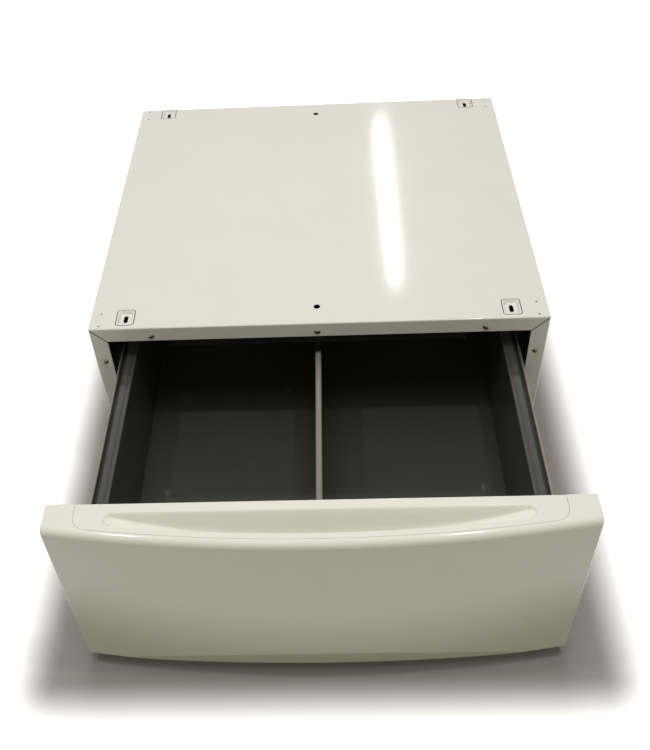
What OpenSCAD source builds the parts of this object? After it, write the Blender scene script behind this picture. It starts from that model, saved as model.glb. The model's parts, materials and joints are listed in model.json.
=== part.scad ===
// Pedestal for a front-loading laundry machine, with one wide drawer.
// X is the width, Y runs from the drawer front to the back, Z is up from the floor.
// The drawer stands part open. All sizes are millimetres.

/* [Cabinet] */
// Width of the cabinet and of the drawer front
cab_w = 685.8; // [640:0.1:760]
// Depth of the cabinet, front flange to rear flange
cab_d = 650; // [620:1:760]
// Height from the floor to the top deck
overall_h = 330.2; // [320:0.1:400]
// Height of the cabinet's lower edge above the floor
foot_gap = 20.2; // [18:0.1:22]
// Thickness of the cabinet sheet
sheet = 1.2; // [0.8:0.1:1.6]
// Outer radius where a sheet is folded
fold_r = 2.4; // [2:0.1:4]
// Width of the front flanges round the mouth
flange_w = 25.4; // [22:0.1:30]
// Open joint along the mitre of the front flanges
mitre_gap = 1.4; // [0.5:0.1:2.5]
// Width of the flanges folded in at the back, top and bottom
return_w = 18; // [15:1:24]

/* [Top deck] */
// Distance of the machine slots from the sides
slot_in = 53.9; // [40:0.1:70]
// Front slots, back from the front flange
slot_front_y = 25; // [22:1:60]
// Rear slots, forward from the rear flange
slot_rear_y = 18; // [18:1:60]
// Length of a slot
slot_l = 16; // [12:0.5:18]
// Width of a slot
slot_w = 6.5; // [5:0.1:8]
// Width of the pressed pad round a slot
pad_w = 24; // [20:0.5:30]
// Length of the pressed pad round a slot
pad_l = 32; // [26:0.5:34]
// Corner radius of the pressed pad
pad_r = 6; // [3:0.5:9]
// Depth of the pressed pad
pad_depth = 2.4; // [1:0.1:4]
// Diameter of the two centre holes
centre_hole_d = 10; // [6:0.5:14]
// Centre holes, in from the front and rear flanges
centre_hole_y = 38; // [30:1:60]
// Diameter of the corner tooling holes
pilot_d = 3; // [2:0.5:5]
// Corner tooling holes, in from the sides
pilot_x = 15.9; // [12:0.1:20]
// First corner tooling hole, in from the flange
pilot_y = 7; // [5:0.5:12]
// Pitch of the two tooling holes at a corner
pilot_pitch = 27.7; // [20:0.1:35]

/* [Cabinet frame] */
// Height of the stiffener behind the top flange
stiffener_h = 38.8; // [30:0.1:42]
// Clear space between the stiffener's ends and the sides
stiffener_end = 120.9; // [112:0.1:140]
// Depth of the stiffener, front to back
stiffener_d = 22; // [15:1:30]
// Width of the arms of the corner gussets
gusset_w = 22; // [18:1:24]
// Length of the gusset arm along the top flange
gusset_l = 106; // [90:1:110]
// Length of the gusset arm down the side flange
gusset_drop = 80; // [75:1:110]
// Distance of the deck braces from the centre line
brace_x = 150; // [60:1:200]
// Width of a deck brace
brace_w = 40; // [30:1:60]
// Height of a deck brace
brace_h = 25; // [15:1:35]
// Clear space at each end of a deck brace
brace_inset = 34; // [32:1:60]
// Height of the base rails
base_h = 40; // [30:1:50]
// Depth of the base rails, front to back
base_leg = 40; // [36:1:60]
// Rows of vent slots in the back panel
vent_rows = 3; // [1:1:5]
// Length of a vent slot
vent_l = 60; // [30:1:90]
// Height of a vent slot
vent_h = 5; // [3:0.5:8]
// Pitch of the vent rows
vent_pitch = 16; // [12:1:20]

/* [Slides] */
// Length of the slide members
slide_l = 500; // [450:1:520]
// Length of the middle member
middle_l = 480; // [430:1:500]
// Height of the slide's centre line above the floor
slide_z = 180; // [165:1:195]
// Thickness of the whole slide
slide_t = 12.7; // [12.5:0.1:13]
// Half the height of the cabinet member
slide_h = 22.5; // [22.5:0.1:24]
// Thickness of the slide members
rail_t = 1.2; // [1:0.05:1.3]
// Thickness of the ball cages
cage_t = 0.6; // [0.4:0.05:0.7]
// Space between neighbouring slide pieces
slide_gap = 0.3; // [0.25:0.01:0.35]
// Diameter of a ball
ball_d = 3; // [2.5:0.1:3.1]
// Space above and below a ball
ball_gap = 0.3; // [0.25:0.01:0.35]
// Balls along one track
ball_count = 8; // [4:1:10]
// Pitch of the balls
ball_pitch = 24; // [16:1:26]
// How far the drawer stands open
drawer_open = 319; // [200:1:400]
// How far the drawer opens in all
drawer_travel = 400; // [400:1:410]
// Height of the hat section that carries a slide
carrier_h = 60; // [54:1:70]
// Width of the feet of that hat section
carrier_foot = 12; // [8:1:16]

/* [Drawer box] */
// Clearance between the mouth and the slide
mouth_clearance = 0; // [0:0.1:1]
// Depth of the drawer box
box_d = 580; // [560:1:600]
// Top of the drawer sides, below the deck
box_top_drop = 60; // [50:1:70]
// Height of the drawer sides
box_h = 158; // [140:1:165]
// Thickness of the drawer sheet
box_t = 1; // [0.8:0.1:1.2]
// Width of the rolled drawer sides
side_w = 25; // [22:0.5:30]
// Diameter of the rolled bead along the inner edge
bead_d = 5; // [4:0.1:5.5]
// Width of the flat ledge beside the bead
ledge_w = 7; // [5:0.1:9]
// Depth of the gutter along the top of a side
gutter_depth = 4; // [2:0.1:6]
// Thickness of the divider
divider_w = 8.4; // [7:0.1:12]
// Edge radius of the divider's top
divider_r = 2; // [1.2:0.1:3]
// Screws and rivets of the box, in from its top and bottom
box_screw_in = 30; // [24:1:45]
// Width of the brace under the box
under_brace_w = 30; // [20:1:40]
// Height of the brace under the box
under_brace_h = 15; // [8:1:20]
// Clear space at each end of the brace under the box
under_brace_end = 20; // [16:1:40]

/* [Drawer front] */
// Top of the drawer front, below the deck
front_drop = 6; // [4:0.5:10]
// Height of the drawer front
front_h = 300; // [290:1:303]
// Thickness of the drawer front at its ends
front_end_t = 41; // [36:0.5:50]
// How far the middle bows forward of the ends
front_bow = 28; // [15:0.5:40]
// Wall of the moulded front
front_wall = 2.8; // [2:0.1:4]
// Edge radius along the top of the face
front_top_r = 10; // [6:0.5:14]
// Edge radius along the bottom of the face
front_bottom_r = 6; // [4:0.5:9]
// Edge radius of the vertical front corners
front_end_r = 6; // [4:0.5:9]
// Radius of the vertical back corners
front_back_r = 5; // [4:0.5:9]
// Gap between the closed front and the cabinet
front_gap = 3; // [3:0.1:5]
// How far the lower edge is tucked under in the middle
tuck_in = 8.5; // [4:0.5:12]
// Height of the tucked part in the middle
tuck_h = 41; // [30:1:60]
// Sweep radius of the tucked part
tuck_sweep = 3500; // [3200:10:4500]
// Length of the front beyond each end of the scoop
scoop_end = 74.9; // [60:0.1:120]
// Rim behind the scoop
scoop_back_rim = 13.6; // [10:0.1:16]
// Rim in front of the scoop
scoop_front_rim = 18.4; // [15:0.1:22]
// Length of the front beyond each end of the handle insert
insert_end = 38.9; // [30:0.1:50]
// Corner radius of the handle insert in plan
insert_corner_r = 19; // [12:0.5:20]
// Parting line round the handle insert
insert_gap = 0.4; // [0.3:0.05:0.5]
// Ledge under the edge of the handle insert
insert_ledge = 4.6; // [3:0.1:5]
// Depth of the scoop in the middle
scoop_depth = 34; // [18:0.5:38]
// Depth of the scoop at its ends
scoop_end_depth = 2.5; // [1:0.1:6]

/* [Feet and fasteners] */
// Diameter of a foot stud
stud_d = 10; // [8:0.5:12]
// Running clearance round a foot stud
stud_clearance = 0.06; // [0.03:0.01:0.1]
// Distance of the feet from the sides
foot_in = 42.9; // [38:0.1:58]
// Distance of the feet from the front and rear flanges
foot_y = 22; // [20:1:24]
// Length of a foot stud above its pad
stud_l = 42; // [34:1:46]
// Diameter of a foot pad
pad_foot_d = 40; // [30:1:44]
// Height of a foot pad
pad_foot_h = 8; // [6:0.5:9]
// Width across the flats of a lock nut
nut_af = 17; // [15:0.5:19]
// Height of a lock nut
nut_h = 6; // [4:0.5:6.5]
// Side of the square threaded block at a foot
block_w = 30; // [24:1:32]
// Height of the threaded block at a foot
block_h = 8; // [5:0.5:12]
// Length of the screws that hold the drawer front
front_screw_l = 20; // [14:1:30]
// Length of the screws that hold the flanges and the back
flange_screw_l = 8; // [6:0.5:12]
// Head diameter of a pan screw
head_d = 8.4; // [7:0.1:9]
// Head height of a pan screw
head_h = 2.4; // [1.8:0.1:2.6]
// Shank diameter of a pan screw
shank_d = 4; // [3:0.1:4.5]
// Clearance round a shank
shank_clearance = 0.15; // [0.1:0.01:0.3]
// Outer top flange screws, in from the sides
flange_screw_in = 92.9; // [86:0.1:104]
// Top flange screws, below the deck
flange_screw_drop = 16.5; // [14:0.5:18]
// Side flange screws, in from the side
side_screw_in = 13.9; // [10:0.1:16]
// Upper side flange screw, below the deck
side_screw_drop = 66.5; // [60:0.5:70]
// Lower side flange screw, above the floor
side_screw_low = 44; // [36:1:50]
// Diameter of a bumper
bumper_d = 12; // [8:0.5:14]
// Space between a bumper and the closed cabinet
bumper_gap = 0.5; // [0.4:0.1:1]
// Bumpers, above the side flange screws
bumper_up = 24; // [16:1:32]

/* [Hidden] */
$fn = 48;

eps = 0.01;
big_fn = 720;
half_w = cab_w / 2;
deck_z = overall_h;
under_z = deck_z - sheet;
floor_z = foot_gap;
inner_x = half_w - sheet;
slot_x = half_w - slot_in;
foot_x = half_w - foot_in;
flange_screw_x = half_w - flange_screw_in;
stiffener_l = cab_w - 2 * stiffener_end;
// half width that clears the inside of the folds
fit_x = half_w - fold_r;
mouth_x = half_w - flange_w;

// rest position: the bounding box is centred on X and Y
front_depth = front_end_t + front_bow;
front_y = -front_gap - front_depth - drawer_open;
rear_y = cab_d + head_h;
mid_y = (front_y + rear_y) / 2;

// drawer box
wall_x = mouth_x - mouth_clearance - slide_t;
box_in_x = wall_x - side_w;
box_top = deck_z - box_top_drop;
box_bottom = box_top - box_h;
box_floor = box_bottom + box_t;
box_front_y = -front_gap;
box_back_y = box_d - front_gap;

// drawer front
front_top = deck_z - front_drop;
front_bottom = front_top - front_h;
scoop_half = half_w - scoop_end;
insert_half = half_w - insert_end;
bow_r = (half_w * half_w + front_bow * front_bow) / (2 * front_bow);
bow_axis_y = box_front_y - front_depth + bow_r;
bow_angle = 2 * asin(half_w / bow_r) + 2;
tuck_angle = atan(tuck_in / tuck_h);
scoop_r = (pow(scoop_half, 2) + pow(scoop_depth - scoop_end_depth, 2))
  / (2 * (scoop_depth - scoop_end_depth));
plate_t = sheet;
insert_t = front_wall + 0.2;
front_screw_xs = [-wall_x * 0.72, wall_x * 0.72];
front_screw_zs = [box_floor + box_screw_in, box_top - box_screw_in];
boss_d = 3.4 * shank_d;

// slides, measured from the carrier towards the drawer
cage_out_d = rail_t + slide_gap;
middle_d = cage_out_d + cage_t + slide_gap;
cage_in_d = middle_d + rail_t + slide_gap;
drawer_rail_d = cage_in_d + cage_t + slide_gap;
track = ball_d + 2 * ball_gap;
middle_h = slide_h - rail_t - track;
drawer_rail_h = middle_h - rail_t - track;
outer_ball_z = middle_h + track / 2;
inner_ball_z = drawer_rail_h + track / 2;
rail_reach = slide_t - 2.2;
outer_ball_x = 6;
inner_ball_x = 7.6;
lip = 1;
slide_y = 15;
middle_y = slide_y + 5;
cage_l = (ball_count - 1) * ball_pitch + 16;
cage_y = 150;
drawer_rail_y = 12;
carrier_y = 5;
carrier_l = slide_l + 120;
rail_screw_ys = [45, slide_l / 2, slide_l - 45];

// flange screws
side_screw_x = half_w - side_screw_in;
side_screw_zs = [deck_z - side_screw_drop, side_screw_low];
shank_hole_d = shank_d + 2 * shank_clearance;

// colours
enamel = [0.90, 0.89, 0.84];
charcoal = [0.20, 0.20, 0.19];
zinc = [0.72, 0.73, 0.74];
black = [0.08, 0.08, 0.08];

module cabinet_place() {
  translate([0, -mid_y, 0]) children();
}

module drawer_place(share = 1) {
  translate([0, -mid_y - share * drawer_open, 0]) children();
}

// side is 1 for the right, -1 for the left
module hand(side) {
  if (side > 0) children();
  else mirror([1, 0, 0]) children();
}

module both_sides() {
  for (side = [-1, 1]) hand(side) children();
}

// a child drawn in the X-Z plane, pulled along Y from 0 to the length
module along_y(length) {
  translate([0, length, 0]) rotate([90, 0, 0]) linear_extrude(length)
    union() {
      children();
    }
}

// a child whose own X is Y and own Y is Z, pulled along X and centred on it
module along_x(length) {
  rotate([90, 0, 90]) linear_extrude(length, center = true) children();
}

module plate(low, high) {
  translate(low) cube(high - low);
}

// folded corner: legs along +X and +Y, outer corner at the origin
module angle_2d(leg_x, leg_y, thick = sheet, radius = fold_r) {
  translate([radius, 0]) square([leg_x - radius, thick]);
  translate([0, radius]) square([thick, leg_y - radius]);
  intersection() {
    square([radius, radius]);
    translate([radius, radius]) difference() {
      circle(radius);
      circle(radius - thick);
    }
  }
}

// channel: web along X centred on the origin, legs along +Y
module channel_2d(width, leg, thick = sheet, radius = fold_r) {
  for (turn = [0, 1]) mirror([turn, 0])
    translate([-width / 2, 0]) angle_2d(width / 2 + eps, leg, thick, radius);
}

// hat: crown along Y at the origin, feet turned outwards at the given depth
module hat_2d(half_h, depth, foot) {
  polygon([
    [0, -half_h], [depth - sheet, -half_h], [depth - sheet, -half_h - foot],
    [depth, -half_h - foot], [depth, -half_h + sheet], [sheet, -half_h + sheet],
    [sheet, half_h - sheet], [depth, half_h - sheet], [depth, half_h + foot],
    [depth - sheet, half_h + foot], [depth - sheet, half_h], [0, half_h]
  ]);
}

// square-cornered channel: web at x0, legs out to x1
module u_2d(x0, x1, half_h, thick) {
  polygon([
    [x0, -half_h], [x1, -half_h], [x1, -half_h + thick], [x0 + thick, -half_h + thick],
    [x0 + thick, half_h - thick], [x1, half_h - thick], [x1, half_h], [x0, half_h]
  ]);
}

module rounded_2d(width, length, radius) {
  square([width - 2 * radius, length], center = true);
  square([width, length - 2 * radius], center = true);
  for (x = [-1, 1], y = [-1, 1])
    translate([x * (width / 2 - radius), y * (length / 2 - radius)]) circle(radius);
}

module slot_2d(width, length) {
  square([width, length - width], center = true);
  for (y = [-1, 1]) translate([0, y * (length - width) / 2]) circle(d = width);
}

// pan head screw: the head's seat is at the origin, the head stands up, the shank goes down
module pan_screw(length) {
  dome_r = (pow(head_d / 2, 2) + pow(head_h, 2)) / (2 * head_h);
  difference() {
    union() {
      intersection() {
        translate([0, 0, head_h - dome_r]) sphere(dome_r, $fn = 64);
        cylinder(d = head_d, h = head_h);
      }
      translate([0, 0, -length]) cylinder(d = shank_d, h = length + head_h / 2);
    }
    for (turn = [0, 90]) rotate(turn)
      translate([0, 0, head_h]) cube([head_d * 0.55, 0.9, 2 * head_h * 0.5], center = true);
  }
}

// screw whose head looks towards -Y, seated at a point
module screw_front(point, length) {
  translate(point) rotate([90, 0, 0]) pan_screw(length);
}

module screw_back(point, length) {
  translate(point) rotate([-90, 0, 0]) pan_screw(length);
}

module shank_hole_y(x, z, y0, y1) {
  translate([x, y0, z]) rotate([-90, 0, 0]) cylinder(d = shank_hole_d, h = y1 - y0);
}

/* ---- cabinet ---- */

function slot_ys() = [slot_front_y, cab_d - slot_rear_y];

module deck_outline() {
  intersection() {
    along_x(cab_w) {
      translate([fold_r, deck_z - fold_r]) intersection() {
        circle(fold_r);
        translate([-fold_r, 0]) square([fold_r, fold_r]);
      }
      translate([fold_r, deck_z - fold_r]) square([cab_d - 2 * fold_r, fold_r]);
      translate([cab_d - fold_r, deck_z - fold_r]) intersection() {
        circle(fold_r);
        square([fold_r, fold_r]);
      }
    }
    along_y(cab_d) {
      translate([-half_w + sheet, under_z]) square([cab_w - 2 * sheet, sheet]);
      for (x = [-1, 1]) translate([x * (half_w - sheet), under_z]) intersection() {
        circle(sheet);
        translate([-sheet, 0]) square([2 * sheet, sheet]);
      }
    }
  }
}

module mitre_wedge(offset) {
  both_sides() translate([0, -1, 0]) along_y(fold_r + 2)
    polygon([
      [half_w - offset, deck_z],
      [half_w + 5, deck_z],
      [half_w + 5, deck_z - flange_w - 5],
      [half_w - offset - flange_w - 5, deck_z - flange_w - 5]
    ]);
}

module top_panel() {
  color(enamel) cabinet_place() difference() {
    union() {
      deck_outline();
      // front flange
      difference() {
        translate([0, 0, deck_z]) along_x(cab_w) mirror([0, 1]) angle_2d(fold_r + 1, flange_w);
        mitre_wedge(0);
        for (x = [-1, 1]) translate([x * (half_w + 1), 0, deck_z]) cube([4, 20, 4], center = true);
      }
      // rear flange, between the side panels' own rear flanges
      translate([0, cab_d, deck_z]) along_x(2 * (half_w - return_w - 1))
        mirror([0, 1]) mirror([1, 0]) angle_2d(fold_r + 1, return_w);
      // pressed pads round the slots
      for (x = [-1, 1], y = slot_ys()) translate([x * slot_x, y, deck_z - pad_depth - sheet])
        linear_extrude(pad_depth) rounded_2d(pad_w, pad_l, pad_r);
    }
    for (x = [-1, 1], y = slot_ys()) translate([x * slot_x, y, deck_z - pad_depth]) {
      linear_extrude(pad_depth + 1)
        rounded_2d(pad_w - 2 * sheet, pad_l - 2 * sheet, pad_r - sheet);
      translate([0, 0, -sheet - 1]) linear_extrude(sheet + 2) slot_2d(slot_w, slot_l);
    }
    for (y = [centre_hole_y, cab_d - centre_hole_y])
      translate([0, y, under_z - 1]) cylinder(d = centre_hole_d, h = sheet + 2);
    for (x = [-1, 1], y = [pilot_y, cab_d - pilot_y], step = [0, 1])
      translate([x * (half_w - pilot_x), y + step * (y < cab_d / 2 ? 1 : -1) * pilot_pitch,
        under_z - 1]) cylinder(d = pilot_d, h = sheet + 2);
    for (x = [-flange_screw_x, 0, flange_screw_x])
      shank_hole_y(x, deck_z - flange_screw_drop, -1, sheet + 1);
    for (x = [-flange_screw_x, flange_screw_x])
      shank_hole_y(x, deck_z - return_w / 2 - 1, cab_d - sheet - 1, cab_d + 1);
  }
}

module side_panel(side) {
  color(enamel) cabinet_place() hand(side) difference() {
    union() {
      translate([half_w, 0, floor_z]) linear_extrude(under_z - floor_z) {
        mirror([1, 0]) angle_2d(flange_w, cab_d / 2);
        translate([0, cab_d]) mirror([0, 1]) mirror([1, 0]) angle_2d(return_w, cab_d / 2);
      }
      plate([half_w - return_w, fold_r + 0.4, under_z - sheet],
        [inner_x + eps, cab_d - fold_r - 0.4, under_z]);
      plate([half_w - flange_w, fold_r + 0.4, floor_z],
        [inner_x + eps, cab_d - fold_r - 0.4, floor_z + sheet]);
    }
    translate([0, -1, 0]) along_y(fold_r + 1) polygon([
      [half_w + 5, under_z + 5],
      [half_w + 5, deck_z + 5 - mitre_gap * sqrt(2)],
      [mouth_x - 5, deck_z - flange_w - 5 - mitre_gap * sqrt(2)],
      [mouth_x - 5, under_z + 5]
    ]);
    for (z = side_screw_zs) shank_hole_y(side_screw_x, z, -1, sheet + 1);
    for (z = back_screw_zs()) shank_hole_y(half_w - return_w / 2, z, cab_d - sheet - 1, cab_d + 1);
  }
}

function back_screw_zs() = [floor_z + 60, (floor_z + under_z) / 2, under_z - 40];

module back_panel() {
  color(enamel) cabinet_place() difference() {
    plate([-fit_x, cab_d - 2 * sheet, floor_z + sheet],
      [fit_x, cab_d - sheet, deck_z - pad_depth - sheet - 0.5]);
    for (row = [0:vent_rows - 1], x = [-1, 1])
      translate([x * cab_w / 4, cab_d, deck_z - 70 - row * vent_pitch])
        rotate([90, 0, 0]) linear_extrude(3 * sheet)
          rotate(90) slot_2d(vent_h, vent_l);
    for (x = [-1, 1], z = back_screw_zs())
      shank_hole_y(x * (half_w - return_w / 2), z, cab_d - 2 * sheet - 1, cab_d);
    for (x = [-flange_screw_x, flange_screw_x])
      shank_hole_y(x, deck_z - return_w / 2 - 1, cab_d - 2 * sheet - 1, cab_d);
  }
}

module front_stiffener() {
  color(charcoal) cabinet_place() difference() {
    translate([0, sheet, under_z]) along_x(stiffener_l)
      mirror([0, 1]) translate([0, stiffener_h / 2]) rotate(-90)
        channel_2d(stiffener_h, stiffener_d);
    shank_hole_y(0, deck_z - flange_screw_drop, 0, 3 * sheet);
  }
}

module corner_gusset(side) {
  top_z = under_z - fold_r + sheet - 0.2;
  color(charcoal) cabinet_place() hand(side) difference() {
    union() {
      plate([fit_x - gusset_l, sheet, top_z - gusset_w], [fit_x, 2 * sheet, top_z]);
      plate([fit_x - gusset_w, sheet, top_z - gusset_drop], [fit_x, 2 * sheet, top_z]);
    }
    shank_hole_y(flange_screw_x, deck_z - flange_screw_drop, 0, 3 * sheet);
    shank_hole_y(side_screw_x, side_screw_zs[0], 0, 3 * sheet);
  }
}

module deck_brace(side) {
  color(enamel) cabinet_place() hand(side)
    translate([brace_x, brace_inset, under_z]) mirror([0, 0, 1])
      along_y(cab_d - 2 * brace_inset) channel_2d(brace_w, brace_h);
}

// channel across the cabinet with its web towards the flange and its mouth inwards
module base_rail_shape() {
  translate([0, 0, floor_z + sheet + base_h / 2]) along_x(2 * fit_x)
    rotate(-90) channel_2d(base_h, base_leg);
}

module stud_holes(y) {
  for (x = [-1, 1]) translate([x * foot_x, y, floor_z])
    cylinder(d = stud_d + 2 * stud_clearance, h = 4 * sheet);
}

module base_front_rail() {
  color(enamel) cabinet_place() difference() {
    translate([0, sheet, 0]) base_rail_shape();
    stud_holes(foot_y + sheet);
    for (x = [-1, 1]) shank_hole_y(x * side_screw_x, side_screw_zs[1], 0, 3 * sheet);
  }
}

module base_rear_rail() {
  color(enamel) cabinet_place() difference() {
    translate([0, cab_d - 2 * sheet, 0]) mirror([0, 1, 0]) base_rail_shape();
    stud_holes(cab_d - foot_y - 2 * sheet);
  }
}

module slide_carrier(side) {
  depth = inner_x - mouth_x;
  color(zinc) cabinet_place() hand(side) difference() {
    translate([mouth_x, carrier_y, slide_z]) along_y(carrier_l)
      hat_2d(carrier_h / 2, depth, carrier_foot);
    for (y = rail_screw_ys) translate([mouth_x - 1, slide_y + y, slide_z])
      rotate([0, 90, 0]) cylinder(d = shank_hole_d, h = 3 * sheet);
  }
}

/* ---- slides: drawn from the carrier (0) towards the drawer (slide_t) ---- */

module slide_place(side) {
  hand(side) translate([mouth_x, 0, slide_z]) mirror([1, 0, 0]) children();
}

// C section, web at web_x, legs towards the drawer, lips turned in
module rail_2d(web_x, half_h) {
  x1 = rail_reach;
  x0 = web_x + rail_t;
  z2 = half_h - rail_t;
  z1 = z2 - lip;
  polygon([
    [web_x, -half_h], [x1, -half_h], [x1, -z1], [x1 - rail_t, -z1], [x1 - rail_t, -z2], [x0, -z2],
    [x0, z2], [x1 - rail_t, z2], [x1 - rail_t, z1], [x1, z1], [x1, half_h], [web_x, half_h]
  ]);
}

module cabinet_rail(side) {
  color(zinc) cabinet_place() slide_place(side) difference() {
    translate([0, slide_y, 0]) along_y(slide_l) rail_2d(0, slide_h);
    for (y = rail_screw_ys) translate([-1, slide_y + y, 0])
      rotate([0, 90, 0]) cylinder(d = shank_hole_d, h = rail_t + 2);
  }
}

module middle_rail(side) {
  color(zinc) drawer_place(0.5) slide_place(side)
    translate([0, middle_y, 0]) along_y(middle_l) rail_2d(middle_d, middle_h);
}

module drawer_rail(side) {
  color(zinc) drawer_place() slide_place(side) difference() {
    translate([0, drawer_rail_y, 0]) along_y(slide_l) mirror([1, 0])
      u_2d(-slide_t, -drawer_rail_d, drawer_rail_h, rail_t);
    for (y = rail_screw_ys) translate([slide_t - rail_t - 1, drawer_rail_y + y, 0])
      rotate([0, 90, 0]) cylinder(d = shank_hole_d, h = rail_t + 2);
  }
}

function ball_ys() = [for (i = [0:ball_count - 1]) cage_y + 8 + i * ball_pitch];

module cage(web_x, ball_x, ball_z) {
  reach = ball_x + ball_d / 2 + 1;
  difference() {
    translate([0, cage_y, 0]) along_y(cage_l) u_2d(web_x, reach, ball_z + cage_t / 2, cage_t);
    for (y = ball_ys(), z = [-1, 1]) translate([ball_x, y, z * ball_z])
      cylinder(d = ball_d + 0.1, h = 2 * cage_t, center = true);
  }
}

module balls(ball_x, ball_z) {
  for (y = ball_ys(), z = [-1, 1]) translate([ball_x, y, z * ball_z]) sphere(d = ball_d, $fn = 24);
}

module outer_cage(side) {
  color(zinc) drawer_place(0.25) slide_place(side) cage(cage_out_d, outer_ball_x, outer_ball_z);
}

module outer_balls(side) {
  color(zinc) drawer_place(0.25) slide_place(side) balls(outer_ball_x, outer_ball_z);
}

module inner_cage(side) {
  color(zinc) drawer_place(0.75) slide_place(side) cage(cage_in_d, inner_ball_x, inner_ball_z);
}

module inner_balls(side) {
  color(zinc) drawer_place(0.75) slide_place(side) balls(inner_ball_x, inner_ball_z);
}

/* ---- feet ---- */

module foot_blocks() {
  color(zinc) cabinet_place() for (y = [foot_y + sheet, cab_d - foot_y - 2 * sheet], x = [-1, 1])
    translate([x * foot_x, y, floor_z + 2 * sheet]) difference() {
      translate([-block_w / 2, -block_w / 2, 0]) cube([block_w, block_w, block_h]);
      translate([0, 0, -1]) cylinder(d = stud_d + 2 * stud_clearance, h = block_h + 2);
    }
}

module foot_lock_nuts() {
  color(zinc) cabinet_place() for (y = [foot_y + sheet, cab_d - foot_y - 2 * sheet], x = [-1, 1])
    translate([x * foot_x, y, floor_z + sheet - nut_h]) difference() {
      intersection() {
        cylinder(d = nut_af / cos(30), h = nut_h, $fn = 6);
        cylinder(d = nut_af * 1.1, h = nut_h);
      }
      translate([0, 0, -1]) cylinder(d = stud_d + 2 * stud_clearance, h = nut_h + 2);
    }
}

module foot_place(side, rear) {
  cabinet_place()
    translate([side * foot_x, rear ? cab_d - foot_y - 2 * sheet : foot_y + sheet, 0]) children();
}

module foot_stud(side, rear) {
  color(zinc) foot_place(side, rear) {
    translate([0, 0, pad_foot_h]) cylinder(d = 14 / cos(30), h = 4, $fn = 6);
    translate([0, 0, pad_foot_h]) rotate_extrude() polygon([
      [0, 0], [stud_d / 2, 0], [stud_d / 2, stud_l - 1], [stud_d / 2 - 1, stud_l], [0, stud_l]
    ]);
    translate([0, 0, pad_foot_h / 2]) cylinder(d = stud_d, h = pad_foot_h / 2 + 1);
  }
}

module foot_pad(side, rear) {
  color(black) foot_place(side, rear) difference() {
    rotate_extrude() polygon([
      [0, 0], [pad_foot_d / 2 - 1.5, 0], [pad_foot_d / 2, 1.5], [pad_foot_d / 2, pad_foot_h / 2],
      [stud_d, pad_foot_h], [0, pad_foot_h]
    ]);
    translate([0, 0, pad_foot_h / 2]) cylinder(d = stud_d, h = pad_foot_h);
  }
}

/* ---- fasteners of the cabinet ---- */

module flange_screws() {
  color(zinc) cabinet_place() {
    for (x = [-flange_screw_x, 0, flange_screw_x])
      screw_front([x, 0, deck_z - flange_screw_drop], flange_screw_l);
    for (x = [-1, 1], z = side_screw_zs) screw_front([x * side_screw_x, 0, z], flange_screw_l);
  }
}

module back_panel_screws() {
  color(zinc) cabinet_place() {
    for (x = [-1, 1], z = back_screw_zs())
      screw_back([x * (half_w - return_w / 2), cab_d, z], flange_screw_l);
    for (x = [-flange_screw_x, flange_screw_x])
      screw_back([x, cab_d, deck_z - return_w / 2 - 1], flange_screw_l);
  }
}

module carrier_screws() {
  color(zinc) cabinet_place() both_sides() for (y = rail_screw_ys)
    translate([mouth_x + sheet, slide_y + y, slide_z]) rotate([0, 90, 0])
      pan_screw(sheet + rail_t - 0.1);
}

/* ---- drawer ---- */

// everything inside the bowed face, with rounded top and bottom edges, drawn in by inset
module bowed_block(inset) {
  r = bow_r - inset;
  top_r = front_top_r - inset;
  low_r = front_bottom_r - inset;
  z0 = front_bottom + inset;
  z1 = front_top - inset;
  depth = front_depth + 10;
  translate([0, bow_axis_y, 0]) rotate(-90 - bow_angle / 2)
    rotate_extrude(angle = bow_angle, $fn = big_fn) {
      translate([bow_r - depth, z0]) square([depth - inset - max(top_r, low_r), z1 - z0]);
      translate([bow_r - depth, z0 + low_r]) square([depth - inset, z1 - z0 - low_r - top_r]);
      translate([r - top_r, z1 - top_r]) circle(top_r);
      translate([r - low_r, z0 + low_r]) circle(low_r);
      translate([r - top_r - 10, z1 - top_r]) square([10, top_r]);
      translate([r - low_r - 10, z0]) square([10, low_r]);
    }
}

module front_plan_2d(inset, back_y) {
  x1 = half_w - inset;
  end_r = front_end_r - inset;
  back_r = front_back_r - inset;
  end_y = bow_axis_y - sqrt(pow(bow_r - front_end_r, 2) - pow(half_w - front_end_r, 2));
  difference() {
    union() {
      translate([-x1 + end_r, box_front_y - front_depth - 1])
        square([2 * (x1 - end_r), front_depth + 1 + back_y - box_front_y]);
      translate([-x1, end_y]) square([2 * x1, back_y - end_y - (inset > 0 ? 0 : back_r)]);
      for (x = [-1, 1]) translate([x * (x1 - end_r), end_y]) circle(end_r);
      if (inset == 0) {
        translate([-x1 + back_r, back_y - back_r]) square([2 * (x1 - back_r), back_r]);
        for (x = [-1, 1]) translate([x * (x1 - back_r), back_y - back_r]) circle(back_r);
      }
    }
    if (inset == 0) for (x = [-1, 1]) translate([x * (x1 - back_r), back_y - back_r])
      difference() {
        translate([x > 0 ? 0 : -back_r - 1, 0]) square([back_r + 1, back_r + 1]);
        circle(back_r);
      }
  }
}

module tuck(inset) {
  translate([0, box_front_y - front_depth, front_bottom + tuck_h]) rotate([tuck_angle, 0, 0])
    translate([0, tuck_sweep, -2 * tuck_h]) cylinder(r = tuck_sweep - inset, h = 800, $fn = big_fn);
}

module front_block(inset) {
  intersection() {
    bowed_block(inset);
    translate([0, 0, front_bottom - 1]) linear_extrude(front_h + 2)
      front_plan_2d(inset, inset > 0 ? box_front_y + 2 : box_front_y);
    tuck(inset);
  }
}

function arc_points(centre, radius, from, to, steps) = [
  for (i = [0:steps]) let (a = from + (to - from) * i / steps)
    centre + radius * [cos(a), sin(a)]
];

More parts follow.
